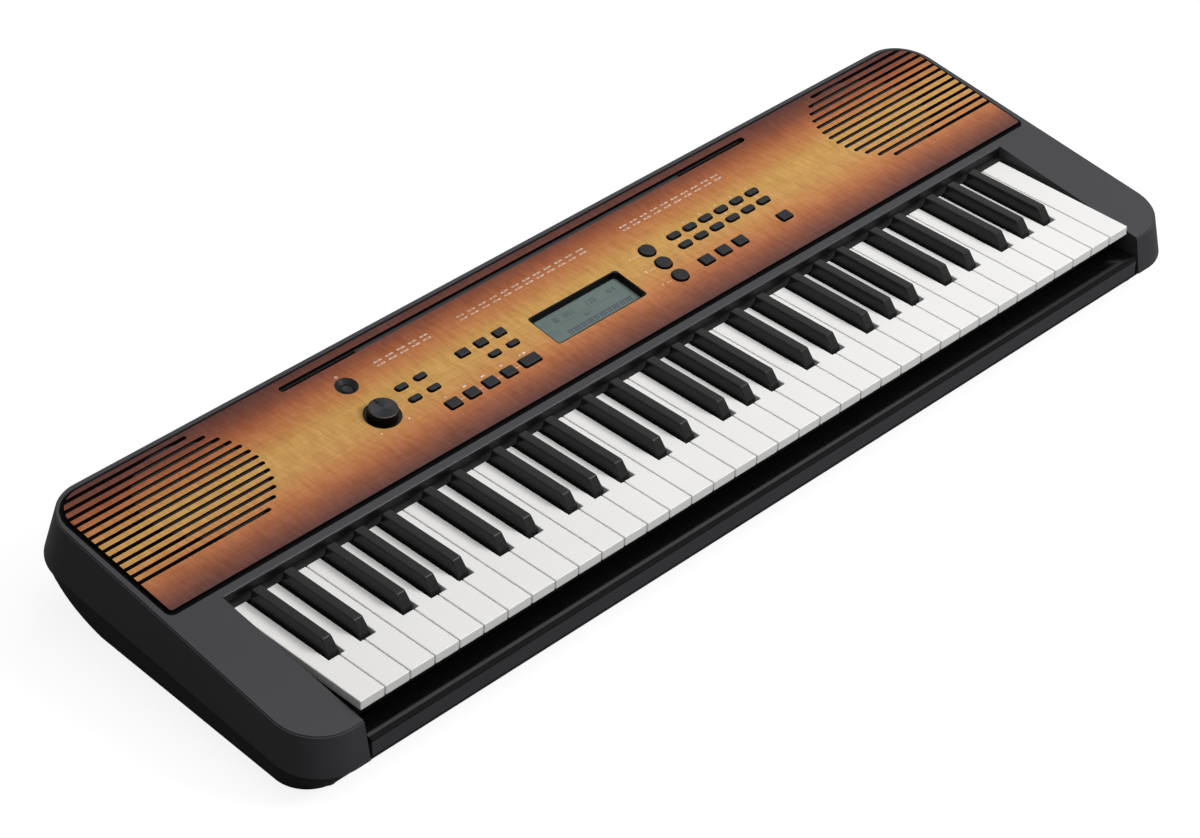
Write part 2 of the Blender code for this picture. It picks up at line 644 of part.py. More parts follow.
def build_lower_case():
    """Make the bottom tray with its battery compartment."""
    def bottom_outline(inset, front_inset):
        half = CASE_HALF - HULL_SIDE_FRONT - inset
        front = at_reach(HULL_FRONT - FRONT_OVERHANG) + front_inset
        rear = at_reach(REAR_REACH - HULL_REAR) - inset
        outline = rounded_outline(-half, half, front, rear, *HULL_CORNERS)
        return tapered(outline, 0.0, half, front, rear, HULL_SIDE_REAR - HULL_SIDE_FRONT)

    def level(height):
        return lambda y: height

    def rim_height(y):
        return parting_height(y) - TOUCH_GAP

    rim = at_heights(parting_outline(LOWER_INSET), rim_height)
    swollen = at_heights(bottom_outline(-2 * HULL_BULGE, 0.0), level(FOOT_HEIGHT))
    tray = loft("lower_case", [
        at_heights(bottom_outline(0.0, 0.0), level(FOOT_HEIGHT)),
        [tuple((a + b) / 2 for a, b in zip(low, high)) for low, high in zip(swollen, rim)],
        rim,
        at_heights(parting_outline(LOWER_INSET + LOWER_WALL), rim_height),
        at_heights(bottom_outline(LOWER_WALL, LOWER_WALL), level(FLOOR_TOP))], LOWER_PLASTIC)
    y_low, y_high = at_reach(BATTERY_FRONT), at_reach(BATTERY_FRONT + BATTERY_DEPTH)
    wall = LOWER_WALL
    block = boxes("battery_block", [(BATTERY_X - BATTERY_HALF - wall, BATTERY_X + BATTERY_HALF + wall,
                                     y_low - wall, y_high + wall, FLOOR_TOP - wall / 2, BATTERY_TOP + wall)])
    post_top = MAIN_BOARD_Z - TOUCH_GAP
    posts = drums("board_posts", [(x, y, FLOOR_TOP - wall / 2, post_top, POST_RADIUS, None, 12)
                                  for x, y in main_board_corners(POST_IN)])
    hollow = boxes("battery_hollow", [(BATTERY_X - BATTERY_HALF, BATTERY_X + BATTERY_HALF,
                                       y_low, y_high, FOOT_HEIGHT - CUT_PAST, BATTERY_TOP)])
    join(tray, block, posts)
    cut(tray, hollow)
    boxes("battery_cover", [(BATTERY_X - BATTERY_HALF + TOUCH_GAP, BATTERY_X + BATTERY_HALF - TOUCH_GAP,
                             y_low + TOUCH_GAP, y_high - TOUCH_GAP, FOOT_HEIGHT, FLOOR_TOP)], LOWER_PLASTIC)
    for side, side_name in ((-1, "left"), (1, "right")):
        for y, end_name in ((at_reach(HULL_FRONT - FRONT_OVERHANG + FOOT_BEHIND_FRONT), "front"),
                            (at_reach(REAR_REACH - HULL_REAR - FOOT_BEFORE_REAR), "rear")):
            x = side * (CASE_HALF - HULL_SIDE_REAR - FOOT_IN)
            foot = drums(f"foot_{end_name}_{side_name}",
                         [(x, y, 0.0, FOOT_HEIGHT - TOUCH_GAP, FOOT_RADIUS, None, 24)], RUBBER)
            smooth(foot)


def build_front_rail():
    """Make the rail in front of the keys, one profile along its length."""
    face = at_reach(-FRONT_OVERHANG) + RAIL_SETBACK
    foot = parting_height(face) + TOUCH_GAP
    back = at_reach(RAIL_BACK_REACH)
    crest = face + RAIL_CREST_BACK
    shares = [step / RAIL_STEPS for step in range(RAIL_STEPS + 1)]
    rise = [(face + share * RAIL_CREST_BACK,
             RAIL_CREST - (RAIL_CREST - RAIL_FACE_TOP) * (1 - share) ** RAIL_ROUNDNESS) for share in shares]
    fall = [(crest + share * (back - crest), RAIL_CREST - (RAIL_CREST - RAIL_BACK_TOP) * share ** 2)
            for share in shares[1:]]
    outline = [(face, foot)] + rise + fall + [
        (back, RAIL_BACK_TOP - CASE_WALL), (crest, RAIL_CREST - CASE_WALL),
        (face + CASE_WALL, RAIL_FACE_TOP - CASE_WALL / 2), (face + CASE_WALL, foot)]
    half = BAY_HALF - RAIL_SIDE_GAP
    smooth(side_profile("front_rail", outline, [(-half, half)], CASE_PLASTIC), 25)

# The rear frame stands on the outside of the rear wall, its z pointing straight out of it.
rear_frame = bpy.data.objects.new("rear_frame", None)
rear_frame.location = (0.0, at_reach(REAR_REACH - REAR_DRAFT / 2),
                       parting_height(at_reach(REAR_REACH)) + REAR_WALL_HEIGHT / 2)
rear_frame.rotation_euler = (math.atan2(REAR_DRAFT, REAR_WALL_HEIGHT) - math.pi / 2, 0.0, 0.0)
PARTS.objects.link(rear_frame)


# Control panel and what it holds

def flange_bottom():
    """Give the level of the underside of the controls' flanges."""
    return -PANEL_THICKNESS - TOUCH_GAP - FLANGE_THICKNESS


def build_button(name, width, depth, corner, places):
    """Make one button piece: its caps, and the flange under the panel that joins them."""
    middle = Vector((sum(x for x, _ in places), sum(y for _, y in places), 0.0)) / len(places)
    low, high = flange_bottom(), flange_bottom() + FLANGE_THICKNESS
    x_reach = max(abs(x - middle.x) for x, _ in places) + width / 2 + FLANGE_LIP
    y_reach = depth / 2 + FLANGE_LIP
    button = boxes(name, [(-x_reach, x_reach, -y_reach, y_reach, low, high)], BUTTON_PLASTIC, panel_frame)
    button.location = middle
    outlines = [rounded_outline(x - middle.x - width / 2, x - middle.x + width / 2,
                                y - middle.y - depth / 2, y - middle.y + depth / 2,
                                corner, corner, CAP_CORNER_STEPS)
                for x, y in places]
    caps = plate(f"{name}_caps", outlines, (low + high) / 2, CAP_PROUD, parent=panel_frame,
                 rounding=CAP_ROUND)
    caps.location = middle
    join(button, caps)


def button_holes():
    """Make the cutter for the holes that the buttons' caps come through."""
    outlines = []
    for _, width, depth, corner, places in BUTTONS:
        half_x = width / 2 + CAP_CLEARANCE
        half_y = depth / 2 + CAP_CLEARANCE
        radius = corner + CAP_CLEARANCE
        outlines += [rounded_outline(x - half_x, x + half_x, y - half_y, y + half_y, radius, radius,
                                     CAP_CORNER_STEPS) for x, y in places]
    return plate("button_holes", outlines, -PANEL_THICKNESS - CUT_PAST, CUT_PAST, parent=panel_frame)


def speaker_slots():
    """Make the cutter for the slots that run from each speaker out to the panel's end."""
    outlines = []
    for side in (-1, 1):
        for i in range(SLOT_COUNT):
            offset = (i - (SLOT_COUNT - 1) / 2) * SLOT_PITCH
            inner = SPEAKER_X - math.sqrt(SLOT_CIRCLE ** 2 - offset ** 2) + SLOT_WIDTH / 2
            y = SPEAKER_Y + offset
            end = arc(inner, y, SLOT_WIDTH / 2, 90, 270, SLOT_END_STEPS)
            outer = PANEL_HALF + CUT_PAST
            outline = end + [(outer, y - SLOT_WIDTH / 2), (outer, y + SLOT_WIDTH / 2)]
            outlines.append([(side * px, py) for px, py in outline])
    return plate("speaker_slots", outlines, -SLOT_DEPTH, CUT_PAST, parent=panel_frame)


def display_outline(inset, steps=4):
    """Give the display window's outline, drawn in by inset."""
    return rounded_outline(-DISPLAY_HALF + inset, DISPLAY_HALF - inset,
                           DISPLAY_Y - DISPLAY_DEPTH / 2 + inset, DISPLAY_Y + DISPLAY_DEPTH / 2 - inset,
                           DISPLAY_CORNER, DISPLAY_CORNER, steps)


def build_panel():
    """Make the decorated cover plate that lies in the deck's recess."""
    panel = plate("control_panel", [rounded_outline(
        -PANEL_HALF, PANEL_HALF, PANEL_FRONT, PANEL_REAR, PANEL_CORNER_FRONT, PANEL_CORNER_REAR)],
        -PANEL_THICKNESS, 0.0, PANEL_FINISH, panel_frame, rounding=0.0004)
    below = -PANEL_THICKNESS - CUT_PAST
    low_x, high_x, low_y, high_y = control_area(BOARD_MARGIN)
    posts = drums("panel_posts", [
        (x, y, BOARD_TOP + TOUCH_GAP, -PANEL_THICKNESS / 2, POST_RADIUS, None, 12)
        for x in (low_x + POST_RADIUS, high_x - POST_RADIUS)
        for y in (low_y + POST_RADIUS, high_y - POST_RADIUS)], parent=panel_frame)
    pockets = drums("speaker_pockets", [
        (side * SPEAKER_X, SPEAKER_Y, below, -SLOT_DEPTH + POCKET_OVERLAP, SPEAKER_RADIUS)
        for side in (-1, 1)], parent=panel_frame)
    window = plate("display_window", [display_outline(0.0)], below, CUT_PAST, parent=panel_frame)
    rest_slot = plate("rest_slot", [rounded_outline(
        -REST_SLOT_HALF, REST_SLOT_HALF, REST_SLOT_Y - REST_SLOT_WIDTH / 2,
        REST_SLOT_Y + REST_SLOT_WIDTH / 2, REST_SLOT_WIDTH / 2 - WELD, REST_SLOT_WIDTH / 2 - WELD, 4)],
        below, CUT_PAST, parent=panel_frame)
    dish_slope = (POWER_DISH_RADIUS - POWER_DISH_FLOOR) / PANEL_THICKNESS
    dish = drums("power_dish", [
        (CONTROL_X, POWER_Y, below, CUT_PAST, POWER_DISH_FLOOR - dish_slope * CUT_PAST,
         POWER_DISH_RADIUS + dish_slope * CUT_PAST, 32)], parent=panel_frame)
    knob_seat = drums("knob_seat", [
        (CONTROL_X, KNOB_Y, -KNOB_RECESS_DEPTH, CUT_PAST, KNOB_RECESS_RADIUS)], parent=panel_frame)
    shaft_hole = drums("shaft_hole", [
        (CONTROL_X, KNOB_Y, below, CUT_PAST, SHAFT_RADIUS + CAP_CLEARANCE)], parent=panel_frame)
    join(panel, posts)
    cut(panel, speaker_slots(), pockets, window, button_holes(), rest_slot, dish, knob_seat, shaft_hole)


def build_panel_board():
    """Make the circuit board under the buttons, with a hole for the knob's shaft."""
    area = control_area(BOARD_MARGIN)
    board = boxes("panel_board", [(*area, BOARD_TOP - BOARD_THICKNESS, BOARD_TOP)], BOARD_GREEN, panel_frame)
    cut(board, drums("board_shaft_hole", [
        (CONTROL_X, KNOB_Y, BOARD_TOP - BOARD_THICKNESS - CUT_PAST, BOARD_TOP + CUT_PAST,
         SHAFT_RADIUS + CAP_CLEARANCE)], parent=panel_frame))


def build_display():
    """Make the display: its glass, and the frame whose walls lean in down to it."""
    glass_top = -DISPLAY_SUNK
    edge = DISPLAY_CORNER
    plate("display_glass", [display_outline(-edge)], glass_top - DISPLAY_GLASS, glass_top,
          DISPLAY_GREY, panel_frame)
    outer = display_outline(TOUCH_GAP)
    top_inner = display_outline(2 * TOUCH_GAP + DISPLAY_RIM)
    low_inner = display_outline(2 * TOUCH_GAP + DISPLAY_RIM + DISPLAY_LEAN)
    low, high = glass_top + TOUCH_GAP, -TOUCH_GAP
    bm = bmesh.new()
    rings = []
    for outline, z in ((outer, low), (outer, high), (top_inner, high), (low_inner, low)):
        rings.append([bm.verts.new((x, y, z)) for x, y in outline])
    for ring, following in zip(rings, rings[1:] + rings[:1]):
        for i in range(len(ring)):
            j = (i + 1) % len(ring)
            bm.faces.new((ring[i], ring[j], following[j], following[i]))
    add_mesh("display_frame", mesh_of(bm, "display_frame"), BUTTON_PLASTIC, panel_frame)


def build_power_button():
    """Make the power button, which sits at the bottom of its dish."""
    button = drums("power_button", [
        (0.0, 0.0, flange_bottom(), flange_bottom() + FLANGE_THICKNESS,
         POWER_DISH_FLOOR + FLANGE_LIP)], BUTTON_PLASTIC, panel_frame)
    button.location = (CONTROL_X, POWER_Y, 0.0)
    cap = drums("power_cap", [(0.0, 0.0, flange_bottom() + FLANGE_THICKNESS / 2, -POWER_SUNK,
                               POWER_RADIUS)], parent=panel_frame)
    cap.location = button.location
    join(button, cap)
    smooth(button)


def build_knob():
    """Make the volume knob and the pot that turns with it from under the board."""
    knob = drums("volume_knob", [(0.0, 0.0, TOUCH_GAP - KNOB_RECESS_DEPTH, KNOB_HEIGHT,
                                  KNOB_RADIUS, KNOB_TOP_RADIUS)], KNOB_METAL, panel_frame)
    round_top(knob.data, CAP_ROUND)
    knob.location = (CONTROL_X, KNOB_Y, 0.0)
    shaft_top = KNOB_HEIGHT - KNOB_WALL
    bore = drums("knob_bore", [(0.0, 0.0, -CUT_PAST, shaft_top, SHAFT_RADIUS + TOUCH_GAP)],
                 parent=panel_frame)
    notch = boxes("knob_pointer", [(-POINTER_WIDTH / 2, POINTER_WIDTH / 2, KNOB_TOP_RADIUS - POINTER_LENGTH,
                                    KNOB_RADIUS + CUT_PAST, KNOB_HEIGHT - POINTER_DEPTH,
                                    KNOB_HEIGHT + CUT_PAST)], parent=panel_frame)
    bore.location = notch.location = knob.location
    cut(knob, bore, notch)
    smooth(knob)
    pot_top = BOARD_TOP - BOARD_THICKNESS - TOUCH_GAP
    pot = drums("volume_pot", [(0.0, 0.0, pot_top - POT_HEIGHT, pot_top, POT_RADIUS)],
                SPEAKER_METAL, panel_frame)
    shaft = drums("pot_shaft", [(0.0, 0.0, pot_top - POT_HEIGHT / 2, shaft_top - TOUCH_GAP, SHAFT_RADIUS)],
                  parent=panel_frame)
    pot.location = shaft.location = knob.location
    join(pot, shaft)
    smooth(pot)


def build_speakers():
    """Make the two speakers under the deck, and the cloth between each and its slots."""
    for side, name in ((-1, "left"), (1, "right")):
        place = Vector((side * SPEAKER_X, SPEAKER_Y, 0.0))
        cloth = drums(f"speaker_cloth_{name}", [
            (0.0, 0.0, RECESS_LEVEL + TOUCH_GAP, RECESS_LEVEL + TOUCH_GAP + CLOTH_THICKNESS,
             SPEAKER_RADIUS - TOUCH_GAP)], CLOTH, panel_frame)
        top = DECK_LEVEL - DECK_THICKNESS - TOUCH_GAP
        rim = top - SPEAKER_FLANGE
        cone_end = rim - SPEAKER_CONE_DEPTH
        speaker = drums(f"speaker_{name}", [(0.0, 0.0, rim, top, SPEAKER_RADIUS)], SPEAKER_METAL, panel_frame)
        cone = drums(f"speaker_cone_{name}", [
            (0.0, 0.0, cone_end, top - SPEAKER_FLANGE / 2, SPEAKER_CONE_RADIUS,
             SPEAKER_RADIUS - SPEAKER_SEAT)], parent=panel_frame)
        magnet = drums(f"speaker_magnet_{name}", [
            (0.0, 0.0, cone_end - MAGNET_DEPTH, cone_end + CUT_PAST, MAGNET_RADIUS)], parent=panel_frame)
        join(speaker, cone, magnet)
        for piece in (cloth, speaker, cone, magnet):
            piece.location = place
        smooth(speaker)


# Sockets in the rear wall

def jack_hole(name, x, sleeve, bore):
    """Make the cutter for a socket's hole in the rear wall."""
    return drums(f"{name}_hole", [(x, 0.0, -2 * CASE_WALL, CUT_PAST, sleeve + TOUCH_GAP)], parent=rear_frame)


def build_jack(name, x, sleeve, bore):
    """Make a socket: a sleeve in the rear wall, on a body behind it."""
    back = -CASE_WALL - 2 * TOUCH_GAP
    reach = sleeve + JACK_LIP
    jack = boxes(name, [(x - reach, x + reach, -reach, reach, back - JACK_BODY_DEPTH, back)],
                 CONNECTOR_PLASTIC, rear_frame)
    join(jack, drums(f"{name}_sleeve", [(x, 0.0, back - JACK_LIP, 0.0, sleeve)], parent=rear_frame))
    cut(jack, drums(f"{name}_bore", [(x, 0.0, back - JACK_BODY_DEPTH + JACK_LIP, CUT_PAST, bore)],
                    parent=rear_frame))


# Keyboard

def notch_edges(step):
    """Give the sides of the notches beside one white key of an octave, or None."""
    centres = [place * WHITE_PITCH for place in BLACK_PLACES]
    start, end = step * WHITE_PITCH, (step + 1) * WHITE_PITCH
    half = BLACK_NOTCH_WIDTH / 2
    left = [c + half for c in centres if abs(c - start) < half]
    right = [c - half for c in centres if abs(c - end) < half]
    return (left[0] if left else None), (right[0] if right else None)


def white_key(start, step, is_last):
    """Give a white key's outline and the span of its narrow rear part."""
    left, right = (None, None) if is_last else notch_edges(step)
    x_low = start + step * WHITE_PITCH + WHITE_GAP / 2
    x_high = start + (step + 1) * WHITE_PITCH - WHITE_GAP / 2
    front, notch, back = at_reach(0.0), at_reach(BLACK_NOTCH_REACH), at_reach(WHITE_BACK)
    rear_low = x_low if left is None else start + left
    rear_high = x_high if right is None else start + right
    outline = [(x_low, front), (x_high, front)]
    if right is not None:
        outline += [(x_high, notch), (rear_high, notch)]
    outline += [(rear_high, back), (rear_low, back)]
    if left is not None:
        outline += [(rear_low, notch), (x_low, notch)]
    return outline, (rear_low, rear_high)


def bar_low(level):
    """Give the height of the underside of the rear bar on one of the three levels."""
    return LOWEST_BAR + level * (BAR_HEIGHT + BAR_GAP)


def comb_bar(name, x_low, x_high, level, finish):
    """Make a comb's rear bar, with its origin on the comb's hinge axis."""
    half_x = (x_high - x_low) / 2 - BAR_GAP
    bar = boxes(name, [(-half_x, half_x, -BAR_DEPTH / 2, BAR_DEPTH / 2, -BAR_HEIGHT / 2, BAR_HEIGHT / 2)],
                finish)
    bar.location = ((x_low + x_high) / 2, at_reach(HINGE_REACH), bar_low(level) + BAR_HEIGHT / 2)
    return bar


def build_white_comb(name, start, steps, level, width, is_last=False):
    """Make white keys that hang on one bar: tops, hollow underneath, and their tails."""
    comb = comb_bar(name, start, start + width, level, WHITE_PLASTIC)
    tail_top = WHITE_TOP - TAIL_DROP
    tail_low = tail_top - TAIL_HEIGHT
    bar_front = at_reach(HINGE_REACH) - BAR_DEPTH / 2
    leg_back = bar_front - CAP_TRAVEL
    leg_front = leg_back - LEG_DEPTH
    foot_top = bar_low(level) + BAR_HEIGHT
    inside = bar_front + BAR_DEPTH / 4
    tail_start = at_reach(WHITE_BACK) - KEY_WALL * 2
    profile = [(tail_start, tail_low), (leg_front, tail_low), (leg_front, bar_low(level)),
               (inside, bar_low(level)), (inside, foot_top), (leg_back, foot_top),
               (leg_back, tail_top), (tail_start, tail_top)]
    keys = [white_key(start, step, is_last) for step in steps]
    middles = [(low + high) / 2 for _, (low, high) in keys]
    tails = side_profile(f"{name}_tails", profile,
                         [(x - TAIL_WIDTH / 2, x + TAIL_WIDTH / 2) for x in middles])
    tops = plate(f"{name}_tops", [outline for outline, _ in keys], WHITE_TOP - WHITE_LIP, WHITE_TOP,
                 rounding=WHITE_ROUND)
    hollows = boxes(f"{name}_hollows", [
        (low + KEY_WALL, high - KEY_WALL, at_reach(KEY_WALL), tail_start - KEY_WALL,
         WHITE_TOP - WHITE_LIP - CUT_PAST, WHITE_TOP - KEY_WALL) for _, (low, high) in keys])
    join(comb, tails, tops)
    cut(comb, hollows)


def build_black_comb(name, start):
    """Make an octave's black keys on their own bar."""
    comb = comb_bar(name, start, start + OCTAVE_WIDTH, 2, BLACK_PLASTIC)
    low = WHITE_TOP - BLACK_SKIRT
    high = WHITE_TOP + BLACK_HEIGHT
    bm = bmesh.new()
    for place in BLACK_PLACES:
        centre = start + place * WHITE_PITCH
        levels = ((BLACK_BASE_WIDTH, 0.0, 0.0, low), (BLACK_BASE_WIDTH, 0.0, 0.0, WHITE_TOP),
                  (BLACK_TOP_WIDTH, BLACK_SLOPE, BLACK_BACK_SLOPE, high))
        add_loft(bm, [[(centre - width / 2, at_reach(BLACK_FRONT + lean), z),
                       (centre + width / 2, at_reach(BLACK_FRONT + lean), z),
                       (centre + width / 2, at_reach(BLACK_BACK + BLACK_BACK_SLOPE - back), z),
                       (centre - width / 2, at_reach(BLACK_BACK + BLACK_BACK_SLOPE - back), z)]
                      for width, lean, back, z in levels])
    keys = add_mesh(f"{name}_keys", round_top(mesh_of(bm, f"{name}_keys"), BLACK_ROUND, 2))
    bar_front = at_reach(HINGE_REACH) - BAR_DEPTH / 2
    tails = boxes(f"{name}_tails", [
        (start + place * WHITE_PITCH - TAIL_WIDTH / 2, start + place * WHITE_PITCH + TAIL_WIDTH / 2,
         at_reach(BLACK_BACK) - KEY_WALL, bar_front + BAR_DEPTH / 4, low + BAR_GAP, low + TAIL_HEIGHT)
        for place in BLACK_PLACES])
    join(comb, tails, keys)


def build_keys():
    """Make the key combs of every octave, and the top key by itself."""
    start = -KEYS_WIDTH / 2
    for octave in range(1, OCTAVES + 1):
        build_white_comb(f"keys_c_e_g_b_octave_{octave}", start, (0, 2, 4, 6), 0, OCTAVE_WIDTH)
        build_white_comb(f"keys_d_f_a_octave_{octave}", start, (1, 3, 5), 1, OCTAVE_WIDTH)
        build_black_comb(f"keys_black_octave_{octave}", start)
        start += OCTAVE_WIDTH
    build_white_comb("key_top_c", start, (0,), 0, WHITE_PITCH, is_last=True)


def build_chassis():
    """Make the bed under the keys, with its stop, its ledge for the bars and its ribs."""
    half = BAY_HALF - CHASSIS_SIDE_GAP
    back = at_reach(HINGE_REACH) + BAR_DEPTH / 2
    front = at_reach(CHASSIS_FRONT)
    low = CHASSIS_TOP - CHASSIS_THICKNESS
    chassis = boxes("keybed_chassis", [(-half, half, front, back, low, CHASSIS_TOP)], CHASSIS_PLASTIC)
    dip = (HINGE_REACH - CHASSIS_FRONT) * math.sin(math.radians(KEY_DIP_DEGREES))
    stop_top = WHITE_TOP - WHITE_LIP - dip - TOUCH_GAP
    ledge_front = at_reach(HINGE_REACH) - BAR_DEPTH / 2
    raised = boxes("chassis_stop_and_ledge", [
        (-half, half, front, front + STOP_DEPTH, low + WELD, stop_top),
        (-half, half, ledge_front, back, low + WELD, LOWEST_BAR - BAR_GAP)])
    ribs = []
    for i in range(CHASSIS_RIBS):
        x = (i / (CHASSIS_RIBS - 1) * 2 - 1) * (half - CHASSIS_RIB)
        ribs.append((x - CHASSIS_RIB / 2, x + CHASSIS_RIB / 2, front + STOP_DEPTH, back - BAR_DEPTH,
                     FLOOR_TOP + TOUCH_GAP, low + CHASSIS_THICKNESS / 2))
    join(chassis, raised, boxes("chassis_ribs", ribs))


def build_boards():
    """Make the key contact board on the chassis and the main board on its posts."""
    half = BAY_HALF - 2 * CHASSIS_SIDE_GAP
    low = CHASSIS_TOP + TOUCH_GAP
    boxes("key_contact_board", [(-half, half, at_reach(CONTACT_BOARD_FRONT),
                                 at_reach(CONTACT_BOARD_FRONT + CONTACT_BOARD_DEPTH),
                                 low, low + BOARD_THICKNESS)], BOARD_GREEN)
    boxes("main_board", [(MAIN_BOARD_X - MAIN_BOARD_HALF, MAIN_BOARD_X + MAIN_BOARD_HALF,
                          at_reach(MAIN_BOARD_FRONT), at_reach(MAIN_BOARD_FRONT + MAIN_BOARD_DEPTH),
                          MAIN_BOARD_Z, MAIN_BOARD_Z + BOARD_THICKNESS)], BOARD_GREEN)


build_upper_case()
build_lower_case()
build_front_rail()
build_panel()
build_panel_board()
build_display()
for button in BUTTONS:
    build_button(*button)
build_power_button()
build_knob()
build_speakers()
for socket in JACKS:
    build_jack(*socket)
build_keys()
build_chassis()
build_boards()
bpy.context.view_layer.update()
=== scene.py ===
"""Looks of the arranger keyboard: camera, light, and a detailed piece for every visible surface.

Metres, in the part's own frame. "Reach" is the distance behind the white keys' front edge.
Pieces on the control panel are drawn in the panel frame, whose z is 0 on the panel's top.
"""
import math

import bmesh
import bpy
from mathutils import Matrix, Vector


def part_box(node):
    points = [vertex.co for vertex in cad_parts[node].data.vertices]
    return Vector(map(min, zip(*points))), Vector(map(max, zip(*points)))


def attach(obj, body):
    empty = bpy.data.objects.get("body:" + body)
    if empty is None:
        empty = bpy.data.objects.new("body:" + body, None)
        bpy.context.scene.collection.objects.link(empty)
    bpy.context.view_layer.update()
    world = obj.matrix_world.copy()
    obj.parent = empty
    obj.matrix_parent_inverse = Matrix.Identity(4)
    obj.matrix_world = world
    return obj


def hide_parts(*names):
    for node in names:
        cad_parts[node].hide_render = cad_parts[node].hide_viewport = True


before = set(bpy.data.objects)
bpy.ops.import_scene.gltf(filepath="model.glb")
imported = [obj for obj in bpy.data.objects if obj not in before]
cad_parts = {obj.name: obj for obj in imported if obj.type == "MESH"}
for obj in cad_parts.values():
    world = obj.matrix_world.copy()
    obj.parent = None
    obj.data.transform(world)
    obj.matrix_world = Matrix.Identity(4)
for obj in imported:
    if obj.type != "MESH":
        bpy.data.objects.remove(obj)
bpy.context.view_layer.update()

# Sizes of the case, panel and controls: the first ones are read from the frame, most others are the solids' own
(_, KEY_FRONT_Y, _), (_, _, WHITE_TOP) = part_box("key_top_c")
(_, CASE_FRONT_Y, _), (CASE_HALF, CASE_REAR_Y, _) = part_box("upper_case")
BOTTOM_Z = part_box("lower_case")[0][2]
DECK_TILT = math.radians(7.9)
DECK_SLOPE = math.tan(DECK_TILT)
FASCIA_REACH = 0.1392
FASCIA_DEPTH = 0.0077
DECK_AT_FASCIA = 0.0783
STRIP_DEPTH = 0.0117
PANEL_PROUD = 0.0020
PANEL_THICKNESS = 0.0033
DECK_THICKNESS = 0.0035
CASE_WALL = 0.0025
TOUCH_GAP = 0.0003
FRONT_DRAFT = 0.0055
REAR_DRAFT = 0.0138
SIDE_DRAFT_FRONT = 0.0039
SIDE_DRAFT_REAR = 0.0080
EDGE_STEP = 0.0010
PARTING_FRONT = 0.0256
PARTING_SLOPE = 0.1035
DECK_CORNERS = (0.038, 0.035)
PARTING_CORNERS = (0.040, 0.044)
WHITE_PITCH = 0.02303
OCTAVE_WIDTH = 7 * WHITE_PITCH
KEYS_WIDTH = 36 * WHITE_PITCH
BAY_HALF = KEYS_WIDTH / 2 + 0.0035
CORNER_STEPS = 26
PANEL_MARGIN = 0.0153
PANEL_HALF = CASE_HALF - PANEL_MARGIN
PANEL_FRONT = -0.0023
PANEL_REAR = 0.1319
PANEL_GAP = 0.0034
PANEL_CORNER = 0.025
RECESS_CORNER = 0.0065
CAVITY_DROP = 0.004
SPEAKER_HOLE = 0.046
POCKET_RADIUS = 0.050
POCKET_TOP = -0.0016
CLOTH_RADIUS = 0.0497
CLOTH_HEIGHTS = (-0.0033, -0.0023)
BOARD_OPENING = (-0.2240, 0.2185, 0.0190, 0.1090)
SPEAKER_X = PANEL_HALF - 0.0948
SPEAKER_Y = 0.0791
REST_SLOT_HALF = 0.2498
REST_FLOOR_HALF = 0.1740
REST_SLOT_Y = 0.1224
REST_SLOT_WIDTH = 0.0057
SLOT_COUNT = 13
SLOT_PITCH = 0.00786
SLOT_WIDTH = 0.0034
SLOT_CIRCLE = 0.0534
SLOT_DEPTH = 0.0018
DISPLAY_HALF = 0.0480
DISPLAY_Y = 0.0504
DISPLAY_DEPTH = 0.0362
DISPLAY_SUNK = 0.0058
CONTROL_X = -0.2070
POWER_Y = 0.0960
POWER_DISH_RADIUS = 0.0089
POWER_DISH_FLOOR = 0.0050
KNOB_Y = 0.0560
KNOB_SEAT_RADIUS = 0.0146
KNOB_SEAT_Z = -0.0008
SPINDLE_HOLE = 0.0034
POWER_RADIUS = 0.0040
POWER_TOP = -0.0026
CAP_PROUD = 0.0020
CAP_CLEARANCE = 0.0004
CAP_BOTTOM = -0.0036
KNOB_TOP = 0.0076
# Button places: the left block by its first column and pitch, then the pads, squares and round buttons
BUTTON_LEFT = -0.1568
BUTTON_STEP = 0.0189
TRIO_STEPS = 2.3
START_STEPS = 4.15
FRONT_ROW = 0.0328
PILL_ROWS = (0.0545, 0.0699)
PAD_START = 0.1143
PAD_STEP = 0.01795
PAD_ROWS = (0.0564, 0.0695)
CATEGORY_START = 0.1142
CATEGORY_STEP = 0.0191
END_X = 0.2040
ROUND_X = 0.0840
ROUND_ROWS = (0.0324, 0.0509, 0.0692)
# Printed number ranges: first number, X and count of each group, then their rows, steps and size
RANGE_GROUPS = ((1, -0.1700, 5), (101, -0.0860, 12), (341, 0.0900, 10))
RANGE_STEP = 0.0116
RANGE_ROW = 0.1026
RANGE_ROW_STEP = 0.0042
RANGE_SIZE = 0.0023
# Keys, and the bars and tails of their combs
WHITE_GAP = 0.0008
WHITE_LIP = 0.0084
WHITE_BACK = 0.1345
KEY_WALL = 0.0018
BLACK_NOTCH_WIDTH = 0.0143
BLACK_NOTCH_REACH = 0.0469
BLACK_BACK = 0.1310
BLACK_FRONT = 0.0499
BLACK_RISE = 0.0108
BLACK_WIDTH = 0.0102
BLACK_TOP_WIDTH = 0.0084
BLACK_LEAN = 0.0071
BLACK_BACK_LEAN = 0.0020
BLACK_SINK = 0.0100
# Centres of the five black keys, as shares of the white pitch from the octave's start
BLACK_PLACES = (0.903, 2.154, 3.878, 5.033, 6.188)
HINGE_REACH = 0.2000
BAR_DEPTH = 0.0080
BAR_HEIGHT = 0.0060
BAR_GAP = 0.0005
LOWEST_BAR = 0.0445
TAIL_WIDTH = 0.0070
TAIL_HEIGHT = 0.0065
TAIL_DROP = 0.0015
LEG_DEPTH = 0.0070
LEG_SETBACK = 0.0010
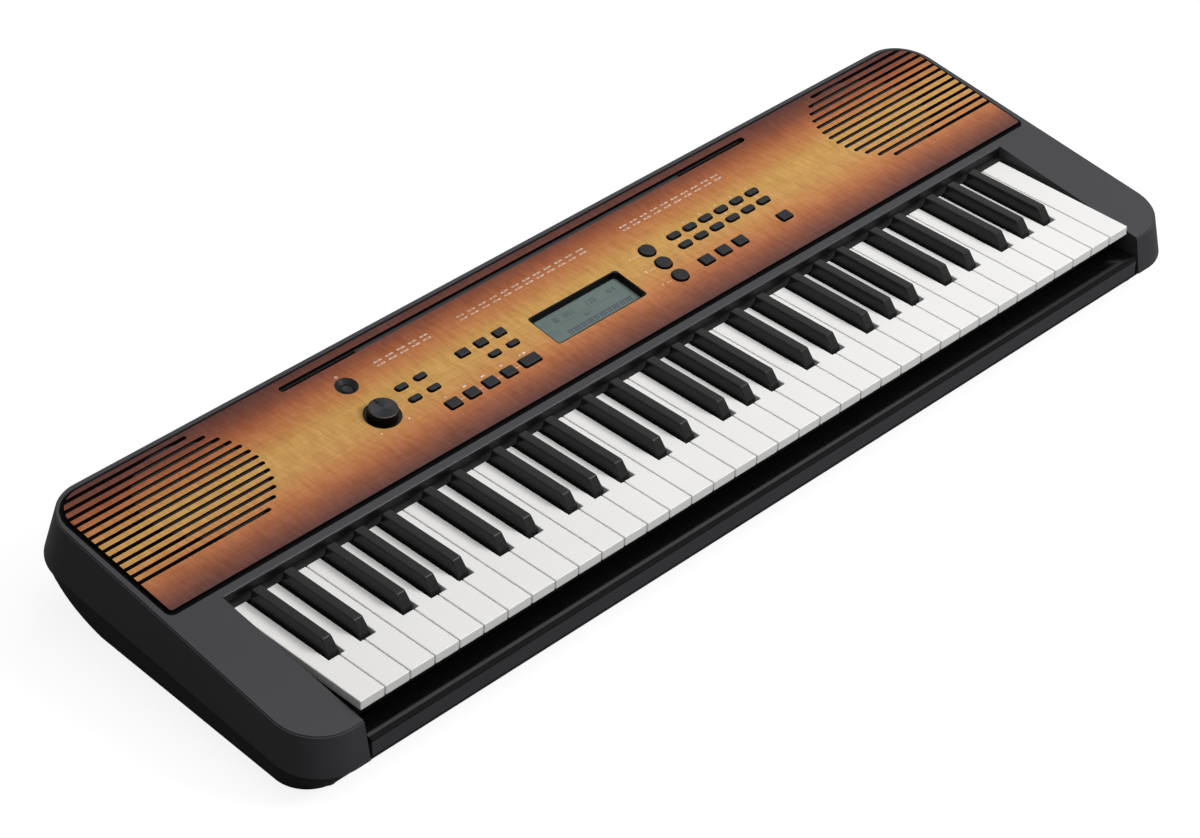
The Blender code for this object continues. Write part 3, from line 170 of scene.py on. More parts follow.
# Lower case and front rail
HULL_FRONT = 0.0198
HULL_SIDE_FRONT = 0.0080
HULL_SIDE_REAR = 0.0185
HULL_BULGE = 0.0025
HULL_REAR = 0.0270
HULL_CORNERS = (0.030, 0.045)
HULL_SETBACK = 0.0012
COVER_HOLE_TOP = 0.0385
RAIL_SETBACK = 0.0019
RAIL_FACE_TOP = 0.0397
RAIL_CREST = 0.0428
RAIL_CREST_BACK = 0.0100
RAIL_BACK_TOP = 0.0408
RAIL_BACK_REACH = 0.0120
RAIL_ROUNDNESS = 2.4
RAIL_STEPS = 24
RAIL_EDGE = 0.0036
# Sockets in the rear wall: name, x, radius of the sleeve, radius of the bore
JACKS = (("headphone_jack", 0.2300, 0.0050, 0.00325), ("power_inlet", 0.2700, 0.0058, 0.0030))
WELD = 0.00001


def button_x(steps):
    """Give the X of a place in the left block of buttons, in steps from its first column."""
    return BUTTON_LEFT + steps * BUTTON_STEP


def numbered(name, size, places):
    """List buttons of one size, which are numbered from 1 and have one cap each."""
    return [(f"{name}_{i + 1}", *size, [place]) for i, place in enumerate(places)]


def button_table():
    """List the buttons, each with its cap's width, depth and corner radius, and its caps' places."""
    pill, pad, square = (0.0105, 0.0050, 0.0022), (0.0123, 0.0060, 0.0029), (0.0115, 0.0093, 0.0014)
    table = [(name, *pill, [(button_x(-1), row), (button_x(0), row)])
             for row, name in zip(PILL_ROWS, ("pills_front", "pills_rear"))]
    table.append(("small_pills", *pill, [(button_x(3.3 + i), PILL_ROWS[0]) for i in range(2)]))
    table += numbered("mode_button", (0.0103, 0.0070, 0.0012),
                      [(button_x(TRIO_STEPS + i), PILL_ROWS[1]) for i in range(3)])
    table += numbered("transport_button", (0.0116, 0.0092, 0.0014),
                      [(button_x(i), FRONT_ROW) for i in range(4)])
    table.append(("start_button", 0.0170, 0.0095, 0.0014, [(button_x(START_STEPS), FRONT_ROW)]))
    table += numbered("round_button", (0.0133, 0.0133, 0.0066), [(ROUND_X, row) for row in ROUND_ROWS])
    table += [(name, *pad, [(PAD_START + i * PAD_STEP, row) for i in range(6)])
              for row, name in zip(PAD_ROWS, ("number_pads_front", "number_pads_rear"))]
    table += numbered("category_button", square,
                      [(CATEGORY_START + i * CATEGORY_STEP, FRONT_ROW) for i in range(3)])
    table.append(("end_button", *square, [(END_X, FRONT_ROW)]))
    return table


BUTTONS = button_table()


def at_reach(reach):
    """Give the Y of a place that lies this far behind the white keys' front."""
    return KEY_FRONT_Y + reach


def deck_height(y):
    """Give the deck's height at a Y."""
    return DECK_AT_FASCIA + (y - at_reach(FASCIA_REACH)) * DECK_SLOPE


def parting_height(y):
    """Give the height of the joint between the two case halves at a Y."""
    return PARTING_FRONT + (y - CASE_FRONT_Y) * PARTING_SLOPE


PANEL = (Matrix.Translation((0.0, at_reach(FASCIA_REACH + STRIP_DEPTH),
                             DECK_AT_FASCIA + STRIP_DEPTH * DECK_SLOPE + PANEL_PROUD / math.cos(DECK_TILT)))
         @ Matrix.Rotation(DECK_TILT, 4, "X"))
WORLD = Matrix.Identity(4)
REAR_TOP_Z = deck_height(CASE_REAR_Y - REAR_DRAFT)
REAR_LOW_Z = parting_height(CASE_REAR_Y)
REAR = (Matrix.Translation((0.0, CASE_REAR_Y - REAR_DRAFT / 2, (REAR_TOP_Z + REAR_LOW_Z) / 2))
        @ Matrix.Rotation(math.atan2(REAR_DRAFT, REAR_TOP_Z - REAR_LOW_Z) - math.pi / 2, 4, "X"))

# Camera

CAMERA_PLACE = Vector((-1.5746, -1.5165, 1.6551))
CAMERA_AZIMUTH = math.radians(45.31)
CAMERA_DOWN = math.radians(36.956)
CAMERA_ROLL = math.radians(-0.768)
CAMERA_LENS = 106.16


def make_camera():
    """Put the camera where the photograph was taken from."""
    data = bpy.data.cameras.new("camera")
    data.sensor_fit = "HORIZONTAL"
    data.sensor_width = 36.0
    data.lens = CAMERA_LENS
    data.clip_end = 20.0
    camera = bpy.data.objects.new("camera", data)
    bpy.context.scene.collection.objects.link(camera)
    ahead = Vector((math.sin(CAMERA_AZIMUTH) * math.cos(CAMERA_DOWN),
                    math.cos(CAMERA_AZIMUTH) * math.cos(CAMERA_DOWN), -math.sin(CAMERA_DOWN)))
    level = Vector((math.cos(CAMERA_AZIMUTH), -math.sin(CAMERA_AZIMUTH), 0.0))
    below = ahead.cross(level)
    right = level * math.cos(CAMERA_ROLL) + below * math.sin(CAMERA_ROLL)
    down = below * math.cos(CAMERA_ROLL) - level * math.sin(CAMERA_ROLL)
    turn = Matrix((right, -down, -ahead)).transposed().to_4x4()
    camera.matrix_world = Matrix.Translation(CAMERA_PLACE) @ turn
    bpy.context.scene.camera = camera


# Node helpers

class Nodes:
    """A short way to write shader nodes."""

    def __init__(self, name):
        self.material = bpy.data.materials.new(name)
        self.material.use_nodes = True
        self.tree = self.material.node_tree
        self.shader = self.tree.nodes["Principled BSDF"]

    def add(self, kind, **settings):
        """Add a node and set its properties."""
        node = self.tree.nodes.new(kind)
        for key, value in settings.items():
            setattr(node, key, value)
        return node

    def link(self, source, target):
        """Link a socket, or write a plain value, to a target socket."""
        if isinstance(source, bpy.types.NodeSocket):
            self.tree.links.new(source, target)
        else:
            target.default_value = source

    def coords(self, scale=(1, 1, 1)):
        """Give the object's own coordinates, stretched by a scale."""
        source = self.add("ShaderNodeTexCoord")
        mapping = self.add("ShaderNodeMapping")
        mapping.inputs["Scale"].default_value = scale
        self.tree.links.new(source.outputs["Object"], mapping.inputs["Vector"])
        return mapping.outputs["Vector"]

    def split(self):
        """Give the object's own X, Y and Z as sockets, by name."""
        node = self.add("ShaderNodeSeparateXYZ")
        self.tree.links.new(self.coords(), node.inputs[0])
        return node.outputs

    def noise(self, vector, scale, detail=2.0, roughness=0.5):
        """Give a noise between 0 and 1."""
        node = self.add("ShaderNodeTexNoise")
        for key, number in (("Scale", scale), ("Detail", detail), ("Roughness", roughness)):
            node.inputs[key].default_value = number
        self.tree.links.new(vector, node.inputs["Vector"])
        return node.outputs["Fac"]

    def math(self, operation, a, b=0.0):
        """Give the result of one sum."""
        node = self.add("ShaderNodeMath", operation=operation)
        self.link(a, node.inputs[0])
        self.link(b, node.inputs[1])
        return node.outputs[0]

    def spread(self, value, low, high, to_low, to_high):
        """Map a value from one range to another, clamped."""
        node = self.add("ShaderNodeMapRange")
        self.link(value, node.inputs["Value"])
        for key, number in zip(("From Min", "From Max", "To Min", "To Max"), (low, high, to_low, to_high)):
            node.inputs[key].default_value = number
        return node.outputs["Result"]

    def ramp(self, value, stops):
        """Colour a value with stops of place and linear colour."""
        node = self.add("ShaderNodeValToRGB")
        self.link(value, node.inputs["Fac"])
        elements = node.color_ramp.elements
        while len(elements) < len(stops):
            elements.new(0.5)
        for element, (place, colour) in zip(elements, stops):
            element.position = place
            element.color = (*colour, 1.0)
        return node.outputs["Color"]

    def mix(self, amount, a, b, blend="MIX"):
        """Mix two colours."""
        node = self.add("ShaderNodeMix", data_type="RGBA", blend_type=blend)
        self.link(amount, node.inputs[0])
        for colour, socket in ((a, node.inputs[6]), (b, node.inputs[7])):
            self.link(colour if isinstance(colour, bpy.types.NodeSocket) else (*colour, 1.0), socket)
        return node.outputs[2]

    def bump(self, height, distance, strength):
        """Give a bump's normal."""
        node = self.add("ShaderNodeBump")
        node.inputs["Strength"].default_value = strength
        node.inputs["Distance"].default_value = distance
        self.link(height, node.inputs["Height"])
        return node.outputs["Normal"]

    def finish(self, colour, roughness, normal=None, **constants):
        """Set the shader's sockets and give the material; constants go by names with underscores."""
        self.link(colour, self.shader.inputs["Base Color"])
        self.link(roughness, self.shader.inputs["Roughness"])
        if normal is not None:
            self.link(normal, self.shader.inputs["Normal"])
        for key, value in constants.items():
            self.shader.inputs[key.replace("_", " ")].default_value = value
        return self.material


def linear(red, green, blue):
    """Turn an 8-bit screen colour into linear values."""
    result = []
    for value in (red, green, blue):
        share = value / 255
        result.append(share / 12.92 if share <= 0.04045 else ((share + 0.055) / 1.055) ** 2.4)
    return tuple(result)


# Materials

FLAME_DARK = (0.84, 0.76, 0.66)
FLAME_LIGHT = (1.14, 1.15, 1.12)
# Colours of the sunburst, by millimetres up the panel
SUNBURST = (
    (-2.0, (95, 66, 66)), (6, (120, 79, 71)), (14, (143, 91, 74)), (26, (177, 115, 82)), (38, (193, 138, 91)),
    (54, (199, 157, 99)), (74, (198, 158, 96)), (88, (188, 133, 85)), (98, (178, 117, 79)),
    (108, (153, 93, 67)), (116, (126, 77, 63)), (130, (92, 60, 58)))


def moulded_plastic(name, colour, roughness, grain=0.00004, grain_scale=2600.0, speckle=0.10, specular=0.16):
    """Make a moulded plastic: an even colour with a fine spark-eroded grain and faint wear."""
    n = Nodes(name)
    fine = n.noise(n.coords(), grain_scale, 2.0, 0.6)
    broad = n.noise(n.coords(), 9.0, 3.0)
    shade = n.math("MULTIPLY", n.spread(fine, 0.3, 0.7, 1 - speckle, 1 + speckle),
                   n.spread(broad, 0.3, 0.7, 0.96, 1.04))
    grey = n.add("ShaderNodeCombineColor")
    for channel in ("Red", "Green", "Blue"):
        n.link(shade, grey.inputs[channel])
    return n.finish(n.mix(1.0, colour, grey.outputs[0], "MULTIPLY"),
                    n.spread(fine, 0.2, 0.8, roughness - 0.06, roughness + 0.06),
                    n.bump(fine, grain, 0.6), Specular_IOR_Level=specular)


def sunburst_panel(name):
    """Make the panel's finish: flamed maple under a sunburst, from gold out to dark brown."""
    n = Nodes(name)
    place = n.split()
    drift = n.noise(n.coords((1, 0.3, 1)), 30.0, 3.0)
    up = n.math("ADD", place["Y"], n.spread(drift, 0.25, 0.75, -0.0022, 0.0022))
    depth = PANEL_REAR - PANEL_FRONT
    burst = n.ramp(n.spread(up, PANEL_FRONT, PANEL_REAR, 0.0, 1.0),
                   [((height / 1000 - PANEL_FRONT) / depth, linear(*colour)) for height, colour in SUNBURST])
    # Flame: thin streaks from front to back, which lean and wander a little
    wander = n.noise(n.coords((0.5, 1, 1)), 45.0)
    across = n.math("ADD", place["X"], n.math("MULTIPLY", place["Y"], 0.14))
    bent = n.add("ShaderNodeCombineXYZ")
    n.link(n.math("ADD", across, n.spread(wander, 0.2, 0.8, -0.0022, 0.0022)), bent.inputs["X"])
    n.link(n.math("MULTIPLY", place["Y"], 0.20), bent.inputs["Y"])
    streaks = [n.spread(n.noise(bent.outputs[0], scale), low, 1 - low, 0.0, share)
               for scale, low, share in ((260.0, 0.32, 0.58), (760.0, 0.30, 0.26), (110.0, 0.30, 0.16))]
    flame = n.math("ADD", streaks[0], n.math("ADD", streaks[1], streaks[2]))
    # Grain: hair lines along the length
    line = n.noise(n.coords((0.030, 1, 1)), 820.0, 3.0, 0.6)
    hair = n.noise(n.coords((0.045, 1, 1)), 2300.0, 2.0, 0.6)
    wood = n.mix(1.0, burst, n.mix(flame, FLAME_DARK, FLAME_LIGHT), "MULTIPLY")
    wood = n.mix(n.spread(line, 0.36, 0.64, 0.0, 0.60), wood, FLAME_DARK, "MULTIPLY")
    wood = n.mix(n.spread(hair, 0.40, 0.70, 0.0, 0.45), wood, FLAME_DARK, "MULTIPLY")
    # The print ends at the top edge: below it the plate is black and dull
    colour = n.mix(n.spread(place["Z"], -0.00022, -0.00010, 1.0, 0.0), wood, linear(4, 4, 4))
    below = n.spread(place["Z"], -0.00022, -0.00010, 0.5, 0.0)
    return n.finish(colour, n.math("ADD", below, n.spread(line, 0.3, 0.7, 0.40, 0.50)),
                    n.bump(line, 0.00001, 0.20), Specular_IOR_Level=0.04)


def button_plastic(name):
    """Make the buttons' plastic: grey on the caps' tops, with painted shade that makes it nearly black down
    their sides.
    """
    n = Nodes(name)
    fine = n.noise(n.coords(), 3600.0)
    top = n.ramp(fine, [(0.3, linear(34, 34, 36)), (0.7, linear(40, 40, 42))])
    # Painted shade: below the caps' top edge the colour turns nearly black
    sides = n.spread(n.split()["Z"], CAP_PROUD - 0.0004, CAP_PROUD - 0.0001, 1.0, 0.0)
    return n.finish(n.mix(sides, top, linear(8, 8, 8)), n.spread(fine, 0.3, 0.7, 0.28, 0.36),
                    n.bump(fine, 0.000004, 0.3), Specular_IOR_Level=0.12)


def key_white(name):
    """Make the white keys' plastic: a warm white with a soft sheen and faint unevenness."""
    n = Nodes(name)
    cloud = n.noise(n.coords(), 14.0, 3.0)
    fine = n.noise(n.coords(), 900.0)
    return n.finish(n.ramp(cloud, [(0.2, linear(230, 229, 227)), (0.8, linear(235, 234, 232))]),
                    n.spread(fine, 0.3, 0.7, 0.30, 0.36), n.bump(cloud, 0.00002, 0.05),
                    Specular_IOR_Level=0.15, Coat_Weight=0.03, Coat_Roughness=0.20)


def spun_metal(name):
    """Make the knob's cap: dark metal, turned in fine rings round its own axis."""
    n = Nodes(name)
    place = n.split()
    radius = n.math("SQRT", n.math("ADD", *[n.math("MULTIPLY", place[axis], place[axis]) for axis in "XY"]))
    rings = n.math("SINE", n.math("MULTIPLY", radius, 21000.0))
    scratch = n.noise(n.coords(), 700.0)
    tangent = n.add("ShaderNodeTangent", direction_type="RADIAL", axis="Z")
    n.link(tangent.outputs[0], n.shader.inputs["Tangent"])
    return n.finish(n.ramp(scratch, [(0.3, linear(44, 44, 46)), (0.7, linear(54, 54, 56))]),
                    n.spread(rings, -1, 1, 0.22, 0.28), n.bump(rings, 0.000002, 0.2),
                    Metallic=1.0, Anisotropic=0.95)


def painted_shade_black(name):
    """Make a dull near-black that throws back hardly any light: painted shade for the bottom of the deep joint
    round the panel.
    """
    n = Nodes(name)
    fine = n.noise(n.coords(), 1800.0)
    return n.finish(n.mix(n.spread(fine, 0.3, 0.7, 0.0, 1.0), linear(3, 3, 3), linear(6, 6, 6)),
                    n.spread(fine, 0.3, 0.7, 0.80, 0.90), n.bump(fine, 0.00002, 0.3), Specular_IOR_Level=0.06)


def display_surface(name):
    """Make the display: a grey-green reflective layer, with the faint grid of its cells."""
    n = Nodes(name)
    fine = n.noise(n.coords((1, 0.4, 1)), 1500.0)
    cloud = n.noise(n.coords(), 12.0)
    tone = n.ramp(cloud, [(0.3, linear(98, 112, 108)), (0.7, linear(108, 121, 117))])
    return n.finish(n.mix(n.spread(fine, 0.4, 0.6, 0.0, 0.12), tone, linear(84, 98, 96)),
                    n.spread(fine, 0.3, 0.7, 0.14, 0.22), n.bump(fine, 0.000004, 0.2),
                    Specular_IOR_Level=0.06)


def woven_cloth(name):
    """Make the black cloth behind the speaker slots, with a plain weave."""
    n = Nodes(name)
    checker = n.add("ShaderNodeTexChecker")
    checker.inputs["Scale"].default_value = 1400.0
    n.link(n.coords(), checker.inputs["Vector"])
    weave = checker.outputs["Fac"]
    return n.finish(n.mix(weave, linear(5, 5, 5), linear(13, 12, 12)), n.spread(weave, 0, 1, 0.85, 0.95),
                    n.bump(weave, 0.0001, 0.6))


def printed_ink(name, colour):
    """Make printed ink, thin enough at places for what lies below to show a little."""
    n = Nodes(name)
    worn = n.noise(n.coords(), 2400.0)
    return n.finish(n.mix(n.spread(worn, 0.55, 0.8, 0.0, 0.35), colour, tuple(c * 0.6 for c in colour)),
                    n.spread(worn, 0.2, 0.8, 0.45, 0.6))


def circuit_board(name):
    """Make a green board with faint copper tracks under its mask."""
    n = Nodes(name)
    brick = n.add("ShaderNodeTexBrick")
    brick.inputs["Scale"].default_value = 160.0
    brick.inputs["Mortar Size"].default_value = 0.06
    n.link(n.coords(), brick.inputs["Vector"])
    tracks = brick.outputs["Fac"]
    return n.finish(n.mix(tracks, linear(18, 78, 40), linear(60, 120, 62)), n.spread(tracks, 0, 1, 0.35, 0.5))


# Looks of moulded plastic: screen colour, roughness, then the grain's depth and scale, speckle and gloss
MOULDED = {
    "case_plastic": ((58, 58, 61), 0.38),
    "lower_plastic": ((24, 24, 26), 0.50),
    "black_plastic": ((32, 32, 33), 0.20, 0.0000005, 2400.0, 0.01, 0.14),
    # A lighter grey for the fascia lip: a painted highlight
    "rubbed_edge": ((70, 70, 73), 0.22, 0.000002, 900.0, 0.02),
    "rail_top": ((8, 8, 8), 0.17, 0.000002, 900.0, 0.02, 0.20),
    "rail_edge": ((12, 12, 12), 0.55, 0.000010, 2600.0, 0.10, 0.04),
    "knob_side": ((9, 8, 8), 0.30, 0.000002, 900.0, 0.02, 0.04),
    "gloss_plastic": ((8, 8, 8), 0.20, 0.000002, 900.0, 0.02),
    "rubber": ((22, 22, 22), 0.80, 0.00006, 1800.0),
    "inside_plastic": ((16, 16, 16), 0.42, 0.000004, 1800.0, 0.03),
    # Near-black of the keybed chassis, also used on the white keys' tails and bar as painted shade
    "chassis_plastic": ((7, 7, 7), 0.70),
    "speaker_metal": ((70, 70, 72), 0.40),
    "connector_plastic": ((30, 30, 31), 0.38),
}


def make_materials():
    """Make every finish, by its slot's name or its use."""
    looks = {use: moulded_plastic(f"{use}_look", linear(*colour), *rest)
             for use, (colour, *rest) in MOULDED.items()}
    looks.update({
        "panel_finish": sunburst_panel("panel_look"),
        "white_plastic": key_white("white_key_look"),
        "button_plastic": button_plastic("button_look"),
        "joint_painted_shade": painted_shade_black("joint_black_look"),
        "knob_finish": spun_metal("knob_look"),
        "speaker_cloth": woven_cloth("cloth_look"),
        "circuit_board": circuit_board("board_look"),
        "display_glass": display_surface("display_look"),
        "white_ink": printed_ink("white_ink_look", linear(236, 234, 228)),
        "display_ink": printed_ink("display_ink_look", linear(46, 54, 68)),
    })
    return looks


# Shapes

def new_piece(name, bm, finish=None, place=WORLD):
    """Turn a bmesh into an object that stands at a place."""
    bmesh.ops.recalc_face_normals(bm, faces=bm.faces)
    mesh = bpy.data.meshes.new(name)
    bm.to_mesh(mesh)
    bm.free()
    if finish:
        mesh.materials.append(finish)
    piece = bpy.data.objects.new(name, mesh)
    bpy.context.scene.collection.objects.link(piece)
    piece.matrix_world = place
    return piece


def settle(piece, body, slot, *nodes):
    """Hang a piece on the body that it rides, and hide the solids that it replaces. The slot is not used."""
    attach(piece, body)
    if nodes:
        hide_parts(*nodes)


def apply_modifiers(piece):
    """Turn a piece's modifiers into its mesh."""
    bpy.context.view_layer.update()
    evaluated = piece.evaluated_get(bpy.context.evaluated_depsgraph_get())
    mesh = bpy.data.meshes.new_from_object(evaluated)
    old = piece.data
    piece.modifiers.clear()
    piece.data = mesh
    bpy.data.meshes.remove(old)


def combine(piece, operation, tools):
    """Join tools to a piece, or cut them from it, and delete them."""
    for tool in tools:
        step = piece.modifiers.new(tool.name, "BOOLEAN")
        step.operation = operation
        step.solver = "EXACT"
        step.object = tool
    apply_modifiers(piece)
    for tool in tools:
        bpy.data.objects.remove(tool, do_unlink=True)


def soften(piece, width, segments=3, angle=35, smooth=50):
    """Round a piece's edges and shade it smooth."""
    step = piece.modifiers.new("soften", "BEVEL")
    step.width = width
    step.segments = segments
    step.limit_method = "ANGLE"
    step.angle_limit = math.radians(angle)
    step.use_clamp_overlap = True
    apply_modifiers(piece)
    shade(piece, smooth)


def shade(piece, degrees=35):
    """Shade a piece smooth between its sharp edges, with the large faces kept flat."""
    piece.data.shade_smooth()
    piece.data.set_sharp_from_angle(angle=math.radians(degrees))
    step = piece.modifiers.new("flat_faces", "WEIGHTED_NORMAL")
    step.keep_sharp = True
    step.weight = 100
    apply_modifiers(piece)


def add_box(bm, x_low, x_high, y_low, y_high, z_low, z_high):
    """Add a box between two corners to a bmesh."""
    middle = Vector((x_low + x_high, y_low + y_high, z_low + z_high)) / 2
    size = (x_high - x_low, y_high - y_low, z_high - z_low)
    bmesh.ops.create_cube(bm, size=1.0, matrix=Matrix.Translation(middle) @ Matrix.Diagonal((*size, 1.0)))


def boxes(name, corners, finish=None, place=WORLD):
    """Make one object of boxes."""
    bm = bmesh.new()
    for corner in corners:
        add_box(bm, *corner)
    return new_piece(name, bm, finish, place)


def arc(x, y, radius, start, end, steps):
    """Give points along an arc, with its angles in degrees."""
    angles = [math.radians(start + (end - start) * step / steps) for step in range(steps + 1)]
    return [(x + radius * math.cos(angle), y + radius * math.sin(angle)) for angle in angles]


def rounded_outline(x_low, x_high, y_low, y_high, front_radius, rear_radius, steps=CORNER_STEPS):
    """Give a rectangle's outline with round corners, anticlockwise from the front right."""
    return (
        arc(x_high - front_radius, y_low + front_radius, front_radius, -90, 0, steps)
        + arc(x_high - rear_radius, y_high - rear_radius, rear_radius, 0, 90, steps)
        + arc(x_low + rear_radius, y_high - rear_radius, rear_radius, 90, 180, steps)
        + arc(x_low + front_radius, y_low + front_radius, front_radius, 180, 270, steps))


def lifted(outline, z):
    """Give a flat outline as a loop at one height."""
    return [(x, y, z) for x, y in outline]


def add_loft(bm, loops, caps=True):
    """Add a loft through loops of as many points each."""
    rings = [[bm.verts.new(point) for point in loop] for loop in loops]
    count = len(rings[0])
    for lower, upper in zip(rings, rings[1:]):
        for i in range(count):
            j = (i + 1) % count
            bm.faces.new((lower[i], lower[j], upper[j], upper[i]))
    if caps:
        bm.faces.new(rings[0])
        bm.faces.new(rings[-1])


def close_ring(bm):
    """Join the two open ends of a loft to each other."""
    bmesh.ops.bridge_loops(bm, edges=[edge for edge in bm.edges if edge.is_boundary])


def loft(name, loops, finish=None, place=WORLD, ring=False):
    """Make a loft with closed ends, or a ring whose last loop joins its first."""
    bm = bmesh.new()
    add_loft(bm, loops, not ring)
    if ring:
        close_ring(bm)
    return new_piece(name, bm, finish, place)


def add_plates(bm, outlines, low, high):
    """Add flat plates to a bmesh, from outlines that don't touch."""
    for outline in outlines:
        add_loft(bm, [lifted(outline, z) for z in (low, high)])


def plates(name, outlines, low, high, finish=None, place=WORLD):
    """Make one object of flat plates."""
    bm = bmesh.new()
    add_plates(bm, outlines, low, high)
    return new_piece(name, bm, finish, place)


def drums(name, places, finish=None, place=WORLD, sides=64):
    """Make one object of turned solids, each with its x, y, and profile of radius and height."""
    bm = bmesh.new()
    turns = [2 * math.pi * i / sides for i in range(sides)]
    for x, y, profile in places:
        add_loft(bm, [[(x + radius * math.cos(turn), y + radius * math.sin(turn), z) for turn in turns]
                      for radius, z in profile])
    return new_piece(name, bm, finish, place)


def at_speakers(name, radius, low, high):
    """Make one cutter of two discs, one at each speaker."""
    return drums(name, [(side * SPEAKER_X, SPEAKER_Y, [(radius, low), (radius, high)]) for side in (-1, 1)],
                 None, PANEL)


# Case

def tapered(points, far_x, y_front, y_rear, shrink, still_x=0.0):
    """Draw an outline in towards the back, from nothing at y_front to shrink at y_rear."""
    return [(x - (x - still_x) / (far_x - still_x) * shrink * (y - y_front) / (y_rear - y_front), y)
            for x, y in points]


def at_heights(points, height_of, drop=0.0):
    """Lift an outline to the height that a function of Y gives."""
    return [(x, y, height_of(y) - drop) for x, y in points]


def deck_outline(inset):
    """Give the deck's outline, drawn in by inset."""
    front, rear = CASE_FRONT_Y + FRONT_DRAFT, CASE_REAR_Y - REAR_DRAFT
    half = CASE_HALF - SIDE_DRAFT_FRONT - inset
    outline = rounded_outline(-half, half, front + inset, rear - inset,
                              DECK_CORNERS[0] - inset, DECK_CORNERS[1] - inset)
    return tapered(outline, half, front, rear, SIDE_DRAFT_REAR - SIDE_DRAFT_FRONT)


def parting_outline(inset):
    """Give the outline of the joint between the case halves, drawn in by inset."""
    half = CASE_HALF - inset
    return rounded_outline(-half, half, CASE_FRONT_Y + inset, CASE_REAR_Y - inset,
                           PARTING_CORNERS[0] - inset, PARTING_CORNERS[1] - inset)


def blended(first, second, share):
    """Give the loop that lies this share of the way from one loop to another."""
    return [Vector(a).lerp(Vector(b), share) for a, b in zip(first, second)]


def case_cavities():
    """Make the cutters for the hollows behind the fascia and in the cheeks."""
    front, rear = at_reach(FASCIA_REACH) + CASE_WALL, CASE_REAR_Y - CASE_WALL
    half = CASE_HALF - CASE_WALL
    lean = (SIDE_DRAFT_FRONT + SIDE_DRAFT_REAR) / 2
    low = rounded_outline(-half, half, front, rear, CASE_WALL, PARTING_CORNERS[1])
    high = rounded_outline(lean - half, half - lean, front, rear - REAR_DRAFT * 0.92,
                           CASE_WALL, DECK_CORNERS[1])
    high = tapered(high, half - lean, front, rear, SIDE_DRAFT_REAR - lean)
    tools = [loft("hollow_rear", [at_heights(low, parting_height, CAVITY_DROP),
                                  at_heights(high, deck_height, DECK_THICKNESS)])]
    inner, y_low = BAY_HALF + CASE_WALL, CASE_FRONT_Y + CASE_WALL
    for side in (-1, 1):
        loops = []
        for outer, y_front, height_of, drop in (
                (half, y_low, parting_height, CAVITY_DROP),
                (half - SIDE_DRAFT_FRONT, y_low + FRONT_DRAFT, deck_height, DECK_THICKNESS + 0.0005)):
            radius = min(DECK_CORNERS[0], outer - inner - 0.0001)
            corner = arc(outer - radius, y_front + radius, radius, -90, 0, CORNER_STEPS)
            outline = [(inner, y_front)] + corner + [(outer, front + 0.002), (inner, front + 0.002)]
            loops.append([(side * x, y, z) for x, y, z in at_heights(outline, height_of, drop)])
        tools.append(loft(f"hollow_{side}", loops))
    return tools


def make_upper_case(looks):
    """Make the top shell with its stepped edge, key bay, fascia and panel recess."""
    edge, inner = deck_outline(0.0), deck_outline(EDGE_STEP)
    step_low = at_heights(edge, deck_height, EDGE_STEP)
    parting = at_heights(parting_outline(0.0), parting_height)
    case = loft("upper_case_shell", [
        at_heights(inner, deck_height), at_heights(inner, deck_height, EDGE_STEP),
        step_low, blended(step_low, parting, 0.5), parting], looks["case_plastic"])
    bay = boxes("bay", [(-BAY_HALF, BAY_HALF, CASE_FRONT_Y - 0.01, at_reach(FASCIA_REACH), 0.0, 0.12)])
    passage = boxes("passage", [(-BAY_HALF, BAY_HALF, at_reach(FASCIA_REACH) - 0.002,
                                 at_reach(FASCIA_REACH) + CASE_WALL + 0.002, 0.0,
                                 DECK_AT_FASCIA - FASCIA_DEPTH)])
    half = PANEL_HALF + PANEL_GAP
    recess_floor = -PANEL_THICKNESS - TOUCH_GAP
    recess = plates("recess", [rounded_outline(-half, half, PANEL_FRONT - PANEL_GAP, PANEL_REAR + PANEL_GAP,
                                               RECESS_CORNER, PANEL_CORNER + PANEL_GAP)],
                    recess_floor, 0.01, None, PANEL)
    holes = boxes("floor_holes", [(*BOARD_OPENING, -0.02, 0.0)] + [
        (min(x), max(x), REST_SLOT_Y - REST_SLOT_WIDTH / 2, REST_SLOT_Y + REST_SLOT_WIDTH / 2, -0.02, 0.0)
        for x in ((-REST_SLOT_HALF, -REST_FLOOR_HALF), (REST_FLOOR_HALF, REST_SLOT_HALF))], None, PANEL)
    rounds = at_speakers("speaker_holes", SPEAKER_HOLE, -0.02, 0.0)
    sockets = drums("socket_holes", [(x, 0.0, [(sleeve + TOUCH_GAP, -0.005), (sleeve + TOUCH_GAP, 0.002)])
                                     for _, x, sleeve, _ in JACKS], None, REAR)
    combine(case, "DIFFERENCE", case_cavities() + [bay, passage, recess, holes, rounds, sockets])
    soften(case, 0.0004, 2)
    settle(case, "case", "case_plastic", "upper_case")
    make_fascia(looks)


